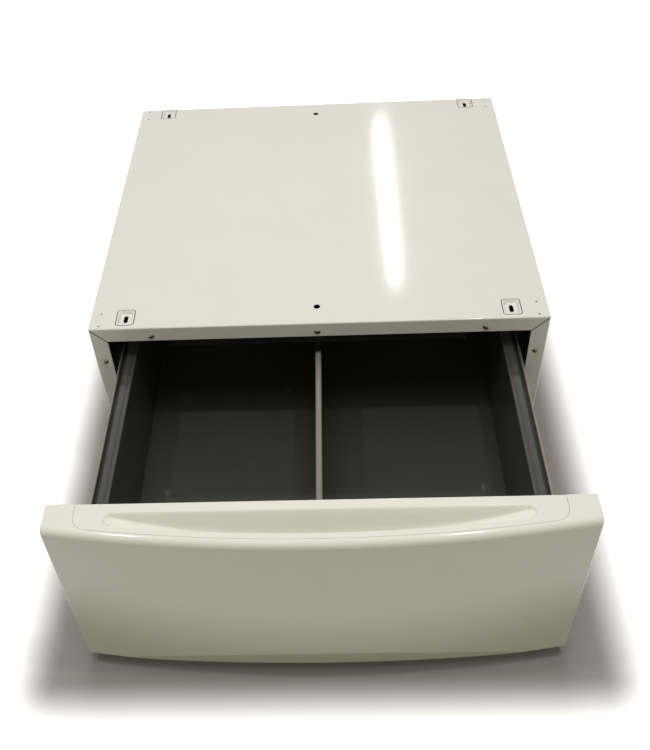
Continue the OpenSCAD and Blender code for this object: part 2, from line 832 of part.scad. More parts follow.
// outline whose front follows the bow at arc_r, with corners of radius end_r that turn to end_angle
function bowed_outline(arc_r, end_r, end_x, end_y, end_angle, back_y, grow) =
  let (
    tilt = asin(end_x / (arc_r - end_r)),
    front = arc_points([0, bow_axis_y], arc_r + grow, -90 - tilt, -90 + tilt, 48),
    right = arc_points([end_x, end_y], end_r + grow, -90 + tilt, end_angle, 16),
    back = end_angle < 90 ? [[end_x + end_r + grow, back_y]] : [],
    half = concat([for (i = [1:len(right) - 1]) right[i]], back)
  )
  concat(front, half, [for (i = [len(half) - 1:-1:0]) [-half[i][0], half[i][1]]]);

// plan of the scoop, grown by grow
module scoop_plan_2d(grow) {
  arc_r = bow_r - scoop_front_rim;
  back_y = box_front_y - scoop_back_rim;
  reach = bow_axis_y - back_y;
  half_b = reach + arc_r - scoop_half;
  end_r = -half_b + sqrt(half_b * half_b + arc_r * arc_r - reach * reach - scoop_half * scoop_half);
  polygon(bowed_outline(arc_r, end_r, scoop_half - end_r, back_y - end_r, 90, 0, grow));
}

module scoop(grow) {
  intersection() {
    translate([0, 0, front_top - scoop_depth - grow - 1]) linear_extrude(scoop_depth + grow + 3)
      scoop_plan_2d(grow);
    translate([0, 5, front_top - scoop_depth + scoop_r]) rotate([90, 0, 0])
      cylinder(r = scoop_r + grow, h = front_depth + 20, $fn = big_fn);
  }
}

// plan of the handle insert, open at the back
module insert_plan_2d(grow) {
  arc_r = bow_r - front_top_r;
  end_x = insert_half - insert_corner_r;
  end_y = bow_axis_y - sqrt(pow(arc_r - insert_corner_r, 2) - end_x * end_x);
  polygon(bowed_outline(arc_r, insert_corner_r, end_x, end_y, 0, box_front_y + 5, grow));
}

module front_bosses() {
  for (x = front_screw_xs, z = front_screw_zs)
    translate([x, box_front_y - plate_t, z]) rotate([90, 0, 0]) cylinder(d = boss_d, h = 60);
}

// ledge that carries the handle insert at its ends and front
module insert_ledge_block() {
  translate([0, 0, front_top - insert_t - 2]) linear_extrude(insert_t + 1) difference() {
    insert_plan_2d(1);
    translate([-half_w, box_front_y - plate_t - 0.3]) square([cab_w, 20]);
  }
}

module front_shell() {
  color(enamel) drawer_place() difference() {
    front_block(0);
    difference() {
      front_block(front_wall);
      front_bosses();
      insert_ledge_block();
    }
    // opening inside the ledge, and the seat of the insert above it
    translate([0, 0, front_top - insert_t - 4]) linear_extrude(insert_t + 5)
      insert_plan_2d(-insert_ledge);
    translate([0, 0, front_top - insert_t]) linear_extrude(insert_t + 1)
      insert_plan_2d(insert_gap);
    for (x = front_screw_xs, z = front_screw_zs)
      shank_hole_y(x, z, box_front_y - front_screw_l, box_front_y + 1);
  }
}

module handle_insert() {
  color(enamel) drawer_place() difference() {
    union() {
      intersection() {
        front_block(0);
        translate([0, 0, front_top - insert_t]) linear_extrude(insert_t + 1)
          insert_plan_2d(0);
      }
      intersection() {
        scoop(front_wall);
        translate([-half_w, box_front_y - front_depth, front_top - 2 * scoop_depth])
          cube([cab_w, front_depth, 2 * scoop_depth - front_wall / 2]);
      }
    }
    scoop(0);
  }
}

module front_backing_plate() {
  edge = front_back_r + 0.5;
  color(zinc) drawer_place() difference() {
    plate([-half_w + edge, box_front_y - plate_t, front_bottom + edge],
      [half_w - edge, box_front_y, front_top - front_wall - 0.5]);
    for (x = front_screw_xs, z = front_screw_zs)
      shank_hole_y(x, z, box_front_y - plate_t - 1, box_front_y + 1);
  }
}

module drawer_inner_front() {
  color(charcoal) drawer_place() difference() {
    union() {
      plate([-wall_x, box_front_y, box_bottom], [wall_x, box_front_y + box_t, box_top - bead_d / 2]);
      translate([0, box_front_y + bead_d / 2, box_top - bead_d / 2]) along_x(2 * box_in_x)
        circle(d = bead_d);
    }
    for (x = front_screw_xs, z = front_screw_zs)
      shank_hole_y(x, z, box_front_y - 1, box_front_y + box_t + 1);
    for (x = [-1, 1], z = rivet_zs()) shank_hole_y(x * rivet_x, z, box_front_y - 1, box_front_y + 3);
  }
}

rivet_x = wall_x - side_w / 2;

function rivet_zs() = [box_floor + box_screw_in, box_top - box_screw_in];

// drawer side seen from the front, outer face at 0, the drawer's inside towards -X
module drawer_side_2d() {
  bead_r = bead_d / 2;
  groove_w = 2.5;
  gutter_w = side_w - bead_d - groove_w - ledge_w - 3;
  ledge_z = box_h - 1;
  inner = -side_w;
  // outer wall with its rolled lip
  translate([-box_t, 0]) square([box_t, box_h - 1.5]);
  translate([-1.5, box_h - 1.5]) circle(1.5);
  translate([-3, box_h - gutter_depth - box_t]) square([box_t, gutter_depth - 0.5 + box_t]);
  // gutter floor, ledge and bead
  translate([-3 - gutter_w, box_h - gutter_depth - box_t]) square([gutter_w + 1, box_t]);
  translate([-3 - gutter_w, box_h - gutter_depth - box_t])
    square([box_t, gutter_depth - 1 + box_t]);
  translate([-3 - gutter_w - ledge_w, ledge_z - box_t]) square([ledge_w + box_t, box_t]);
  translate([-3 - gutter_w - ledge_w, ledge_z - 2.5]) square([box_t, 2.5]);
  translate([inner + bead_r, ledge_z - 2.5]) square([groove_w + bead_r + box_t, box_t]);
  translate([inner + bead_r, box_h - bead_r]) circle(bead_r);
  // inner wall down to the drawer's bottom sheet, and the lip that carries that sheet
  translate([inner, box_t]) square([box_t, box_h - bead_r - box_t]);
  translate([-14, -box_t]) square([14, box_t]);
  translate([-box_t, -box_t]) square([box_t, 2 * box_t]);
}

module drawer_side(side) {
  y0 = box_front_y + box_t;
  length = box_d - 2 * box_t;
  color(charcoal) drawer_place() hand(side) difference() {
    translate([wall_x, y0, box_bottom]) {
      along_y(length) drawer_side_2d();
      // end tabs
      for (y = [0, length - box_t]) translate([-side_w + box_t / 2, y, box_t + 8])
        cube([side_w - box_t, box_t, box_h - gutter_depth - 3 * box_t - 8]);
    }
    for (y = rail_screw_ys) translate([wall_x - 2 * box_t, drawer_rail_y + y, slide_z])
      rotate([0, 90, 0]) cylinder(d = shank_hole_d, h = 3 * box_t);
    for (z = rivet_zs(), y = [y0 - 1, y0 + length - box_t - 1])
      shank_hole_y(rivet_x, z, y, y + box_t + 2);
  }
}

module drawer_back() {
  color(charcoal) drawer_place() difference() {
    union() {
      plate([-wall_x, box_back_y - box_t, box_bottom], [wall_x, box_back_y, box_top - bead_d / 2]);
      translate([0, box_back_y - bead_d / 2, box_top - bead_d / 2]) along_x(2 * box_in_x)
        circle(d = bead_d);
    }
    for (x = [-1, 1], z = rivet_zs())
      shank_hole_y(x * rivet_x, z, box_back_y - 3, box_back_y + 1);
    for (z = divider_screw_zs()) shank_hole_y(0, z, box_back_y - 3, box_back_y + 1);
  }
}

function divider_screw_zs() = [box_floor + 40, box_top - 40];

module drawer_bottom() {
  color(charcoal) drawer_place() difference() {
    plate([-wall_x + box_t, box_front_y + box_t, box_bottom],
      [wall_x - box_t, box_back_y - box_t, box_floor]);
    for (y = divider_screw_ys()) translate([0, y, box_bottom - 1])
      cylinder(d = shank_hole_d, h = box_t + 2);
  }
}

function divider_screw_ys() = [90, box_d - 90];

brace_y = box_d / 2;

module divider_2d(inset) {
  x1 = divider_w / 2 - inset;
  edge_r = divider_r - inset;
  z0 = box_floor + inset;
  z1 = divider_top - inset;
  translate([-x1, z0]) square([2 * x1, z1 - z0 - edge_r]);
  translate([-x1 + edge_r, z0]) square([2 * (x1 - edge_r), z1 - z0]);
  for (x = [-1, 1]) translate([x * (x1 - edge_r), z1 - edge_r]) circle(edge_r);
}

divider_top = box_top - 0.5;

module drawer_divider() {
  length = box_d - 2 * box_t;
  color(charcoal) drawer_place() difference() {
    translate([0, box_front_y + box_t, 0]) difference() {
      along_y(length) divider_2d(0);
      translate([0, box_t, 0]) along_y(length - 2 * box_t) divider_2d(box_t);
    }
    for (y = divider_screw_ys()) translate([0, y, box_floor - 1])
      cylinder(d = shank_hole_d, h = box_t + 2);
    for (z = divider_screw_zs()) shank_hole_y(0, z, box_back_y - 3, box_back_y);
    // notches over the beads of the front and back walls
    for (y = [box_front_y, box_back_y]) translate([0, y, divider_top])
      cube([divider_w + 2, 2 * (bead_d + 0.3), 2 * (bead_d + 0.3)], center = true);
  }
}

// spring clip that stops the divider's seam from opening
module divider_clip() {
  color(zinc) drawer_place() translate([0, clip_y, 0]) difference() {
    translate([-divider_w / 2 - 0.8, 0, divider_top - 9]) cube([divider_w + 1.6, 14, 9.8]);
    translate([0, -1, 0]) along_y(16) divider_2d(0);
    translate([0, 7, divider_top - 9]) rotate([90, 0, 90]) linear_extrude(divider_w + 4, center = true)
      polygon([[-8, -1], [-8, 6], [-5, 6], [0, 1], [5, 6], [8, 6], [8, -1]]);
  }
}

clip_y = drawer_open + 4;

// channel spot-welded across the underside of the box
module drawer_bottom_brace() {
  color(zinc) drawer_place() translate([0, brace_y, box_bottom]) mirror([0, 0, 1])
    rotate([90, 0, 90]) linear_extrude(2 * (wall_x - under_brace_end), center = true)
      channel_2d(under_brace_w, under_brace_h, box_t, fold_r);
}

module front_screws() {
  color(zinc) drawer_place() for (x = front_screw_xs, z = front_screw_zs)
    screw_back([x, box_front_y + box_t, z], front_screw_l);
}

module drawer_rail_screws() {
  color(zinc) drawer_place() both_sides() for (y = rail_screw_ys)
    translate([mouth_x - mouth_clearance - slide_t + rail_t, drawer_rail_y + y, slide_z])
      rotate([0, 90, 0]) pan_screw(5);
}

module divider_screws() {
  color(zinc) drawer_place() {
    for (y = divider_screw_ys()) translate([0, y, box_bottom]) rotate([180, 0, 0])
      pan_screw(2 * box_t + 3);
    for (z = divider_screw_zs()) screw_back([0, box_back_y, z], 6);
  }
}

module box_rivets() {
  color(zinc) drawer_place() for (x = [-1, 1], z = rivet_zs()) {
    screw_back([x * rivet_x, box_back_y, z], 6);
    screw_back([x * rivet_x, box_front_y + 2 * box_t, z], 2 * box_t - 0.1);
  }
}

module front_bumpers() {
  color(black) drawer_place()
    for (x = [-1, 1], z = side_screw_zs)
      translate([x * side_screw_x, box_front_y, z + bumper_up]) rotate([-90, 0, 0])
        cylinder(d1 = bumper_d, d2 = bumper_d - 3, h = front_gap - bumper_gap);
}

top_panel();
side_panel(-1);  // left_side_panel
side_panel(1);  // right_side_panel
back_panel();
front_stiffener();
corner_gusset(-1);  // left_corner_gusset
corner_gusset(1);  // right_corner_gusset
deck_brace(-1);  // left_deck_brace
deck_brace(1);  // right_deck_brace
base_front_rail();
base_rear_rail();
slide_carrier(-1);  // left_slide_carrier
slide_carrier(1);  // right_slide_carrier
cabinet_rail(-1);  // left_cabinet_rail
cabinet_rail(1);  // right_cabinet_rail
foot_blocks();
foot_lock_nuts();
flange_screws();
back_panel_screws();
carrier_screws();
middle_rail(-1);  // left_middle_rail
middle_rail(1);  // right_middle_rail
outer_cage(-1);  // left_outer_cage
outer_cage(1);  // right_outer_cage
outer_balls(-1);  // left_outer_balls
outer_balls(1);  // right_outer_balls
inner_cage(-1);  // left_inner_cage
inner_cage(1);  // right_inner_cage
inner_balls(-1);  // left_inner_balls
inner_balls(1);  // right_inner_balls
front_shell();
handle_insert();
front_backing_plate();
drawer_inner_front();
drawer_side(-1);  // left_drawer_side
drawer_side(1);  // right_drawer_side
drawer_back();
drawer_bottom();
drawer_divider();
divider_clip();
drawer_bottom_brace();
drawer_rail(-1);  // left_drawer_rail
drawer_rail(1);  // right_drawer_rail
front_screws();
drawer_rail_screws();
divider_screws();
box_rivets();
front_bumpers();
foot_stud(-1, false);  // front_left_stud
foot_stud(1, false);  // front_right_stud
foot_stud(-1, true);  // rear_left_stud
foot_stud(1, true);  // rear_right_stud
foot_pad(-1, false);  // front_left_foot
foot_pad(1, false);  // front_right_foot
foot_pad(-1, true);  // rear_left_foot
foot_pad(1, true);  // rear_right_foot
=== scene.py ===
"""Laundry pedestal with a bow-fronted drawer: modelled pieces, finishes and studio.

Everything is in metres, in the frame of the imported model. X is the width, Y runs from the
drawer front to the back, Z is up from the floor, and the drawer stands part open.
"""

from __future__ import annotations

import json
import logging
import math
from contextlib import contextmanager
from dataclasses import dataclass
from enum import Enum
from typing import Any, Callable, Iterator

import bmesh
import bpy
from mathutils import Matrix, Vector

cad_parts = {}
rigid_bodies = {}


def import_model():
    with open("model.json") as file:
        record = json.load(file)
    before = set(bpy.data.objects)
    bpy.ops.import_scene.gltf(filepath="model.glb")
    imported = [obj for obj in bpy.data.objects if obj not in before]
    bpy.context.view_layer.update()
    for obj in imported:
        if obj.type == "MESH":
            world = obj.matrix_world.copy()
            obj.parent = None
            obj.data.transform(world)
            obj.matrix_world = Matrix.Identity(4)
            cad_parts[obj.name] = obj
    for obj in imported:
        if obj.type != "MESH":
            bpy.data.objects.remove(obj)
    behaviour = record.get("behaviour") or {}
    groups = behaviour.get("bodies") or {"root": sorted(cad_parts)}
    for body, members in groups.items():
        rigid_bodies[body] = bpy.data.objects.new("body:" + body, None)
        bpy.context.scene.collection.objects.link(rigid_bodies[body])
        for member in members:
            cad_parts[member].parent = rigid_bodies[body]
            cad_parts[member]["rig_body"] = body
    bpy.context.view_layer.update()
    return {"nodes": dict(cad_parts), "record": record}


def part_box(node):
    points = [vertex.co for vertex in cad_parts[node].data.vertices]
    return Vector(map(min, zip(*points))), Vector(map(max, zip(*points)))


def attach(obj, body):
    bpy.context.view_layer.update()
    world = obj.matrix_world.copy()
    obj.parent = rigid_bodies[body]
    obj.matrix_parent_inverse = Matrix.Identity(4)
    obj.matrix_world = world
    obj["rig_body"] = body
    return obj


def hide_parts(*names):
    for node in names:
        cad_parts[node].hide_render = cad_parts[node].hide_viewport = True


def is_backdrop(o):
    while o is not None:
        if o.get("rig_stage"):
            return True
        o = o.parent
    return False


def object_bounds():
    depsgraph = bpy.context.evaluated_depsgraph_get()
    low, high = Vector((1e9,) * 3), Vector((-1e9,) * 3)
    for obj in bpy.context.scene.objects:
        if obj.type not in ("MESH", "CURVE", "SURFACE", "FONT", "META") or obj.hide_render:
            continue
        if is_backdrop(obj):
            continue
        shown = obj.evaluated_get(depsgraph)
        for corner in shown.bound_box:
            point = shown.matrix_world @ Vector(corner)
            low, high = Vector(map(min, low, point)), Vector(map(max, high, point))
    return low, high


Test = Callable[[Any], bool]
Tree = bpy.types.NodeTree
Socket = bpy.types.NodeSocket

LOG = logging.getLogger("pedestal")
MM = 0.001
# Slack for telling that a point lies on a plane, and the gap that merging closes.
HAIR = 0.01 * MM
# A length that counts as none.
NOTHING = 0.001 * MM
# How far a cutting tool reaches past the face that it cuts.
SPARE = 5 * MM
# Gap and angle, in degrees, up to which a CAD node's loose triangles are merged into faces.
NODE_GAP = 0.002 * MM
NODE_FLAT = 0.4
# Power that blends the scoop's walls: the higher, the sharper the crease between them.
SCOOP_CREASE = 8
# Width of the drawn lines on rolled steel, as a share of their length.
DRAWN_OUT = 0.04
# Number of a surface's blotches of other gloss to each of its patches of colour, along a line.
BLOTCH = 0.4
# Power of a lamp's panel that shows as plain white, in watts per square metre.
WHITE_PANEL = 4


# ---- small tools ----


def linear(code: str) -> tuple[float, float, float, float]:
    """Turns an sRGB hex colour into linear light.

    Args:
        code: Colour as "#RRGGBB".

    Returns:
        Red, green, blue and alpha, linear.
    """
    channels = [int(code[i : i + 2], 16) / 255 for i in (1, 3, 5)]
    red, green, blue = (c / 12.92 if c <= 0.04045 else ((c + 0.055) / 1.055) ** 2.4 for c in channels)
    return red, green, blue, 1.0


def add_node(
    tree: Tree, kind: str, inputs: dict[Any, Any] | None = None, **settings: Any
) -> bpy.types.Node:
    """Adds a shader node with its settings, values and links.

    Args:
        tree: Node tree that gets the node.
        kind: Node type, such as "ShaderNodeTexNoise".
        inputs: Values, or output sockets to link, by input name or index.
        **settings: Properties of the node itself.

    Returns:
        The new node.
    """
    node = tree.nodes.new(kind)
    for name, value in settings.items():
        setattr(node, name, value)
    for name, value in (inputs or {}).items():
        if isinstance(value, Socket):
            tree.links.new(value, node.inputs[name])
        else:
            node.inputs[name].default_value = value
    return node


def cleared(owner: bpy.types.Material | bpy.types.World) -> Tree:
    """Empties the node tree of a material or a world.

    Args:
        owner: The material or world.

    Returns:
        Its empty node tree.
    """
    owner.use_nodes = True
    owner.node_tree.nodes.clear()
    return owner.node_tree


def deselect() -> None:
    """Leaves object mode with nothing selected."""
    if bpy.context.object and bpy.context.object.mode != "OBJECT":
        bpy.ops.object.mode_set(mode="OBJECT")
    bpy.ops.object.select_all(action="DESELECT")


def activate(obj: bpy.types.Object) -> None:
    """Makes one object the only selected and the active one.

    Args:
        obj: The object.
    """
    deselect()
    obj.select_set(True)
    bpy.context.view_layer.objects.active = obj


class Part(Enum):
    """Kind of mesh element that is picked."""

    VERT = "VERT"
    EDGE = "EDGE"
    FACE = "FACE"


class Meeting(Enum):
    """What a tool does to the workpiece that it meets."""

    CUT = "DIFFERENCE"
    WELD = "UNION"
    KEEP_OVERLAP = "INTERSECT"


def middle(part: Any) -> Vector:
    """Finds the middle of a vertex, edge or face.

    Args:
        part: The vertex, edge or face.

    Returns:
        Its middle, in its mesh's own frame.
    """
    if isinstance(part, bmesh.types.BMVert):
        return part.co.copy()
    if isinstance(part, bmesh.types.BMEdge):
        return (part.verts[0].co + part.verts[1].co) / 2
    return part.calc_center_median()


class Workpiece:
    """A mesh being shaped: elements are picked by place, then operators act on them."""

    def __init__(self, obj: bpy.types.Object, name: str) -> None:
        """Takes over an object and names it.

        Args:
            obj: The object.
            name: Name for it and for its mesh.
        """
        self.obj = obj
        obj.name = name
        obj.data.name = name

    @classmethod
    def added(cls, name: str) -> Workpiece:
        """Takes over the primitive that was just added, with its place put into its mesh.

        Args:
            name: Name of the piece.

        Returns:
            The new workpiece.
        """
        piece = cls(bpy.context.object, name)
        piece.settle()
        return piece

    @classmethod
    def block(cls, name: str, low: Vector, high: Vector) -> Workpiece:
        """Starts from a box between two corners.

        Args:
            name: Name of the piece.
            low: Lower corner.
            high: Upper corner.

        Returns:
            The new workpiece.
        """
        deselect()
        bpy.ops.mesh.primitive_cube_add(size=1, location=(low + high) / 2, scale=high - low)
        return cls.added(name)

    @classmethod
    def rod(
        cls, name: str, foot: Vector, radius: float, length: float, sides: int, tilt: float = 0
    ) -> Workpiece:
        """Starts from a cylinder.

        Args:
            name: Name of the piece.
            foot: Middle of its lower end.
            radius: Radius.
            length: Length.
            sides: Number of sides.
            tilt: Turn about the X axis, in radians.

        Returns:
            The new workpiece.
        """
        deselect()
        axis = Vector((0, -math.sin(tilt), math.cos(tilt)))
        bpy.ops.mesh.primitive_cylinder_add(
            vertices=sides, radius=radius, depth=length,
            location=foot + axis * length / 2, rotation=(tilt, 0, 0),
        )
        return cls.added(name)

    @classmethod
    def turned(cls, name: str, sides: int, outline: list[tuple[float, float]]) -> Workpiece:
        """Draws a ring up the Z axis through an outline, as on a lathe.

        Args:
            name: Name of the piece.
            sides: Steps round the axis.
            outline: Height and radius of each ring.

        Returns:
            The new workpiece, open at its two ends.
        """
        deselect()
        height, radius = outline[0]
        bpy.ops.mesh.primitive_circle_add(vertices=sides, radius=radius, location=(0, 0, height))
        piece = cls.added(name)
        with piece.picked(Part.EDGE, lambda edge: True):
            for next_height, next_radius in outline[1:]:
                rise = (0, 0, next_height - height)
                bpy.ops.mesh.extrude_region_move(TRANSFORM_OT_translate={"value": rise})
                wider = next_radius / radius
                bpy.ops.transform.resize(value=(wider, wider, 1), center_override=(0, 0, next_height))
                height, radius = next_height, next_radius
        return piece

    def copied(self, name: str, place: Vector) -> Workpiece:
        """Copies the piece, with a mesh of its own, to a place.

        Args:
            name: Name of the copy.
            place: Where its origin goes.

        Returns:
            The copy, with its place in its mesh.
        """
        copy = bpy.data.objects.new(name, self.obj.data.copy())
        bpy.context.scene.collection.objects.link(copy)
        copy.location = place
        piece = Workpiece(copy, name)
        piece.settle()
        return piece

    def close(self) -> None:
        """Fills the open ends and points all faces outwards."""
        with self.picked(Part.EDGE, lambda edge: True):
            bpy.ops.mesh.fill_holes(sides=0)
        self.face_out()

    @classmethod
    def from_node(cls, name: str, node: bpy.types.Object) -> Workpiece:
        """Starts from a copy of a CAD node, with its loose triangles merged into faces.

        Args:
            name: Name of the piece.
            node: The CAD node.

        Returns:
            The new workpiece, without a material.
        """
        copy = bpy.data.objects.new(name, node.data.copy())
        bpy.context.scene.collection.objects.link(copy)
        piece = cls(copy, name)
        copy.data.materials.clear()
        activate(copy)
        bpy.ops.mesh.customdata_custom_splitnormals_clear()
        piece.merge(NODE_GAP)
        piece.flatten(NODE_FLAT)
        return piece

    def settle(self) -> None:
        """Puts the object's place, turn and scale into its mesh."""
        activate(self.obj)
        bpy.ops.object.transform_apply(location=True, rotation=True, scale=True)

    @contextmanager
    def picked(self, kind: Part, test: Test) -> Iterator[int]:
        """Opens edit mode with the elements that pass a test selected.

        Args:
            kind: Kind of element.
            test: True for the elements to select.

        Yields:
            How many are selected.
        """
        activate(self.obj)
        bpy.ops.object.mode_set(mode="EDIT")
        bpy.ops.mesh.select_mode(type=kind.value)
        bpy.ops.mesh.select_all(action="DESELECT")
        mesh = bmesh.from_edit_mesh(self.obj.data)
        parts = {Part.VERT: mesh.verts, Part.EDGE: mesh.edges, Part.FACE: mesh.faces}[kind]
        chosen = [part for part in parts if test(part)]
        for part in chosen:
            part.select_set(True)
        mesh.select_flush_mode()
        bmesh.update_edit_mesh(self.obj.data)
        yield len(chosen)
        bpy.ops.object.mode_set(mode="OBJECT")

    def bevel(self, test: Test, width: float, segments: int, kind: Part = Part.EDGE) -> None:
        """Rounds the picked edges or corners.

        Args:
            test: True for the edges or corners to round.
            width: Width of the rounding.
            segments: Steps across it.
            kind: Part.EDGE, or Part.VERT for the corners of a flat outline.

        Raises:
            ValueError: If no edge or corner passes the test.
        """
        with self.picked(kind, test) as count:
            if not count:
                raise ValueError(f"{self.obj.name}: nothing to bevel")
            bpy.ops.mesh.bevel(
                offset=width, segments=segments, profile=0.5, clamp_overlap=True,
                affect="VERTICES" if kind is Part.VERT else "EDGES",
            )

    def drop(self, test: Test) -> None:
        """Deletes the picked faces."""
        with self.picked(Part.FACE, test):
            bpy.ops.mesh.delete(type="FACE")

    def cut(self, point: Vector, normal: Vector) -> None:
        """Cuts off what lies beyond a plane and closes the cut."""
        with self.picked(Part.FACE, lambda face: True):
            bpy.ops.mesh.bisect(plane_co=point, plane_no=normal, use_fill=True, clear_outer=True)

    def merge(self, distance: float = HAIR) -> None:
        """Merges doubled vertices."""
        with self.picked(Part.VERT, lambda vert: True):
            bpy.ops.mesh.remove_doubles(threshold=distance)

    def flatten(self, angle: float) -> None:
        """Merges faces that meet at less than an angle in degrees."""
        with self.picked(Part.FACE, lambda face: True):
            bpy.ops.mesh.dissolve_limited(angle_limit=math.radians(angle))

    def face_out(self) -> None:
        """Points all faces outwards."""
        with self.picked(Part.FACE, lambda face: True):
            bpy.ops.mesh.normals_make_consistent(inside=False)

    def modify(self, kind: str, **settings: Any) -> None:
        """Adds a modifier with its settings and applies it.

        Args:
            kind: Type of the modifier, such as "BEVEL".
            **settings: The modifier's properties.
        """
        activate(self.obj)
        modifier = self.obj.modifiers.new(kind.title(), kind)
        for name, value in settings.items():
            setattr(modifier, name, value)
        bpy.ops.object.modifier_apply(modifier=modifier.name)

    def combine(self, tool: Workpiece, meeting: Meeting) -> None:
        """Brings the piece and a tool together, which uses the tool up."""
        self.modify("BOOLEAN", object=tool.obj, operation=meeting.value, solver="EXACT")
        bpy.data.objects.remove(tool.obj)

    def join(self, *others: Workpiece) -> None:
        """Takes other workpieces into this one's mesh.

        Args:
            *others: The workpieces, which are used up.
        """
        activate(self.obj)
        for other in others:
            other.obj.select_set(True)
        bpy.ops.object.join()

    def shape(self, rule: Callable[[Vector], Vector]) -> None:
        """Moves every vertex to where a rule says."""
        for vert in self.obj.data.vertices:
            vert.co = rule(vert.co)

    def soften(self, width: float, segments: int = 2, angle: float = 30) -> None:
        """Rounds every edge that is sharper than an angle in degrees.

        Args:
            width: Width of the rounding.
            segments: Steps across it.
            angle: The angle.
        """
        self.modify(
            "BEVEL", width=width, segments=segments, use_clamp_overlap=True, miter_outer="MITER_ARC",
            limit_method="ANGLE", angle_limit=math.radians(angle),
        )

    def smooth(self, angle: float = 30) -> None:
        """Shades smooth across edges below an angle in degrees, with flat faces kept flat.

        Args:
            angle: The angle.
        """
        activate(self.obj)
        bpy.ops.object.shade_smooth_by_angle(angle=math.radians(angle))
        self.modify("WEIGHTED_NORMAL", keep_sharp=True, weight=100)

    def dress(self, finish: Finish, body: str, *nodes: str) -> None:
        """Gives the piece its material, its body and the CAD nodes that it stands for.

        Args:
            finish: Finish of the piece.
            body: CAD body that it rides on.
            *nodes: CAD nodes that it replaces.
        """
        self.settle()
        self.obj.data.materials.clear()
        self.obj.data.materials.append(finish.material())
        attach(self.obj, body)
        if nodes:
            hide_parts(*nodes)
        faces = len(self.obj.data.polygons)
        LOG.info("%s: %d faces, rides on %s, stands for %s", self.obj.name, faces, body, nodes)


# ---- finishes ----


class Pattern(Enum):
    """How a surface was made, which sets its fine relief."""

    PEEL = "sprayed and baked: rounded ripples of orange peel"
    SPANGLE = "hot dipped: flat crystals of zinc, each with its own gloss"
    ROLLED = "rolled or drawn: fine lines along Y"
    PLATED = "plated: fine even grain"
    MOULDED = "moulded: matt, faintly pitted"


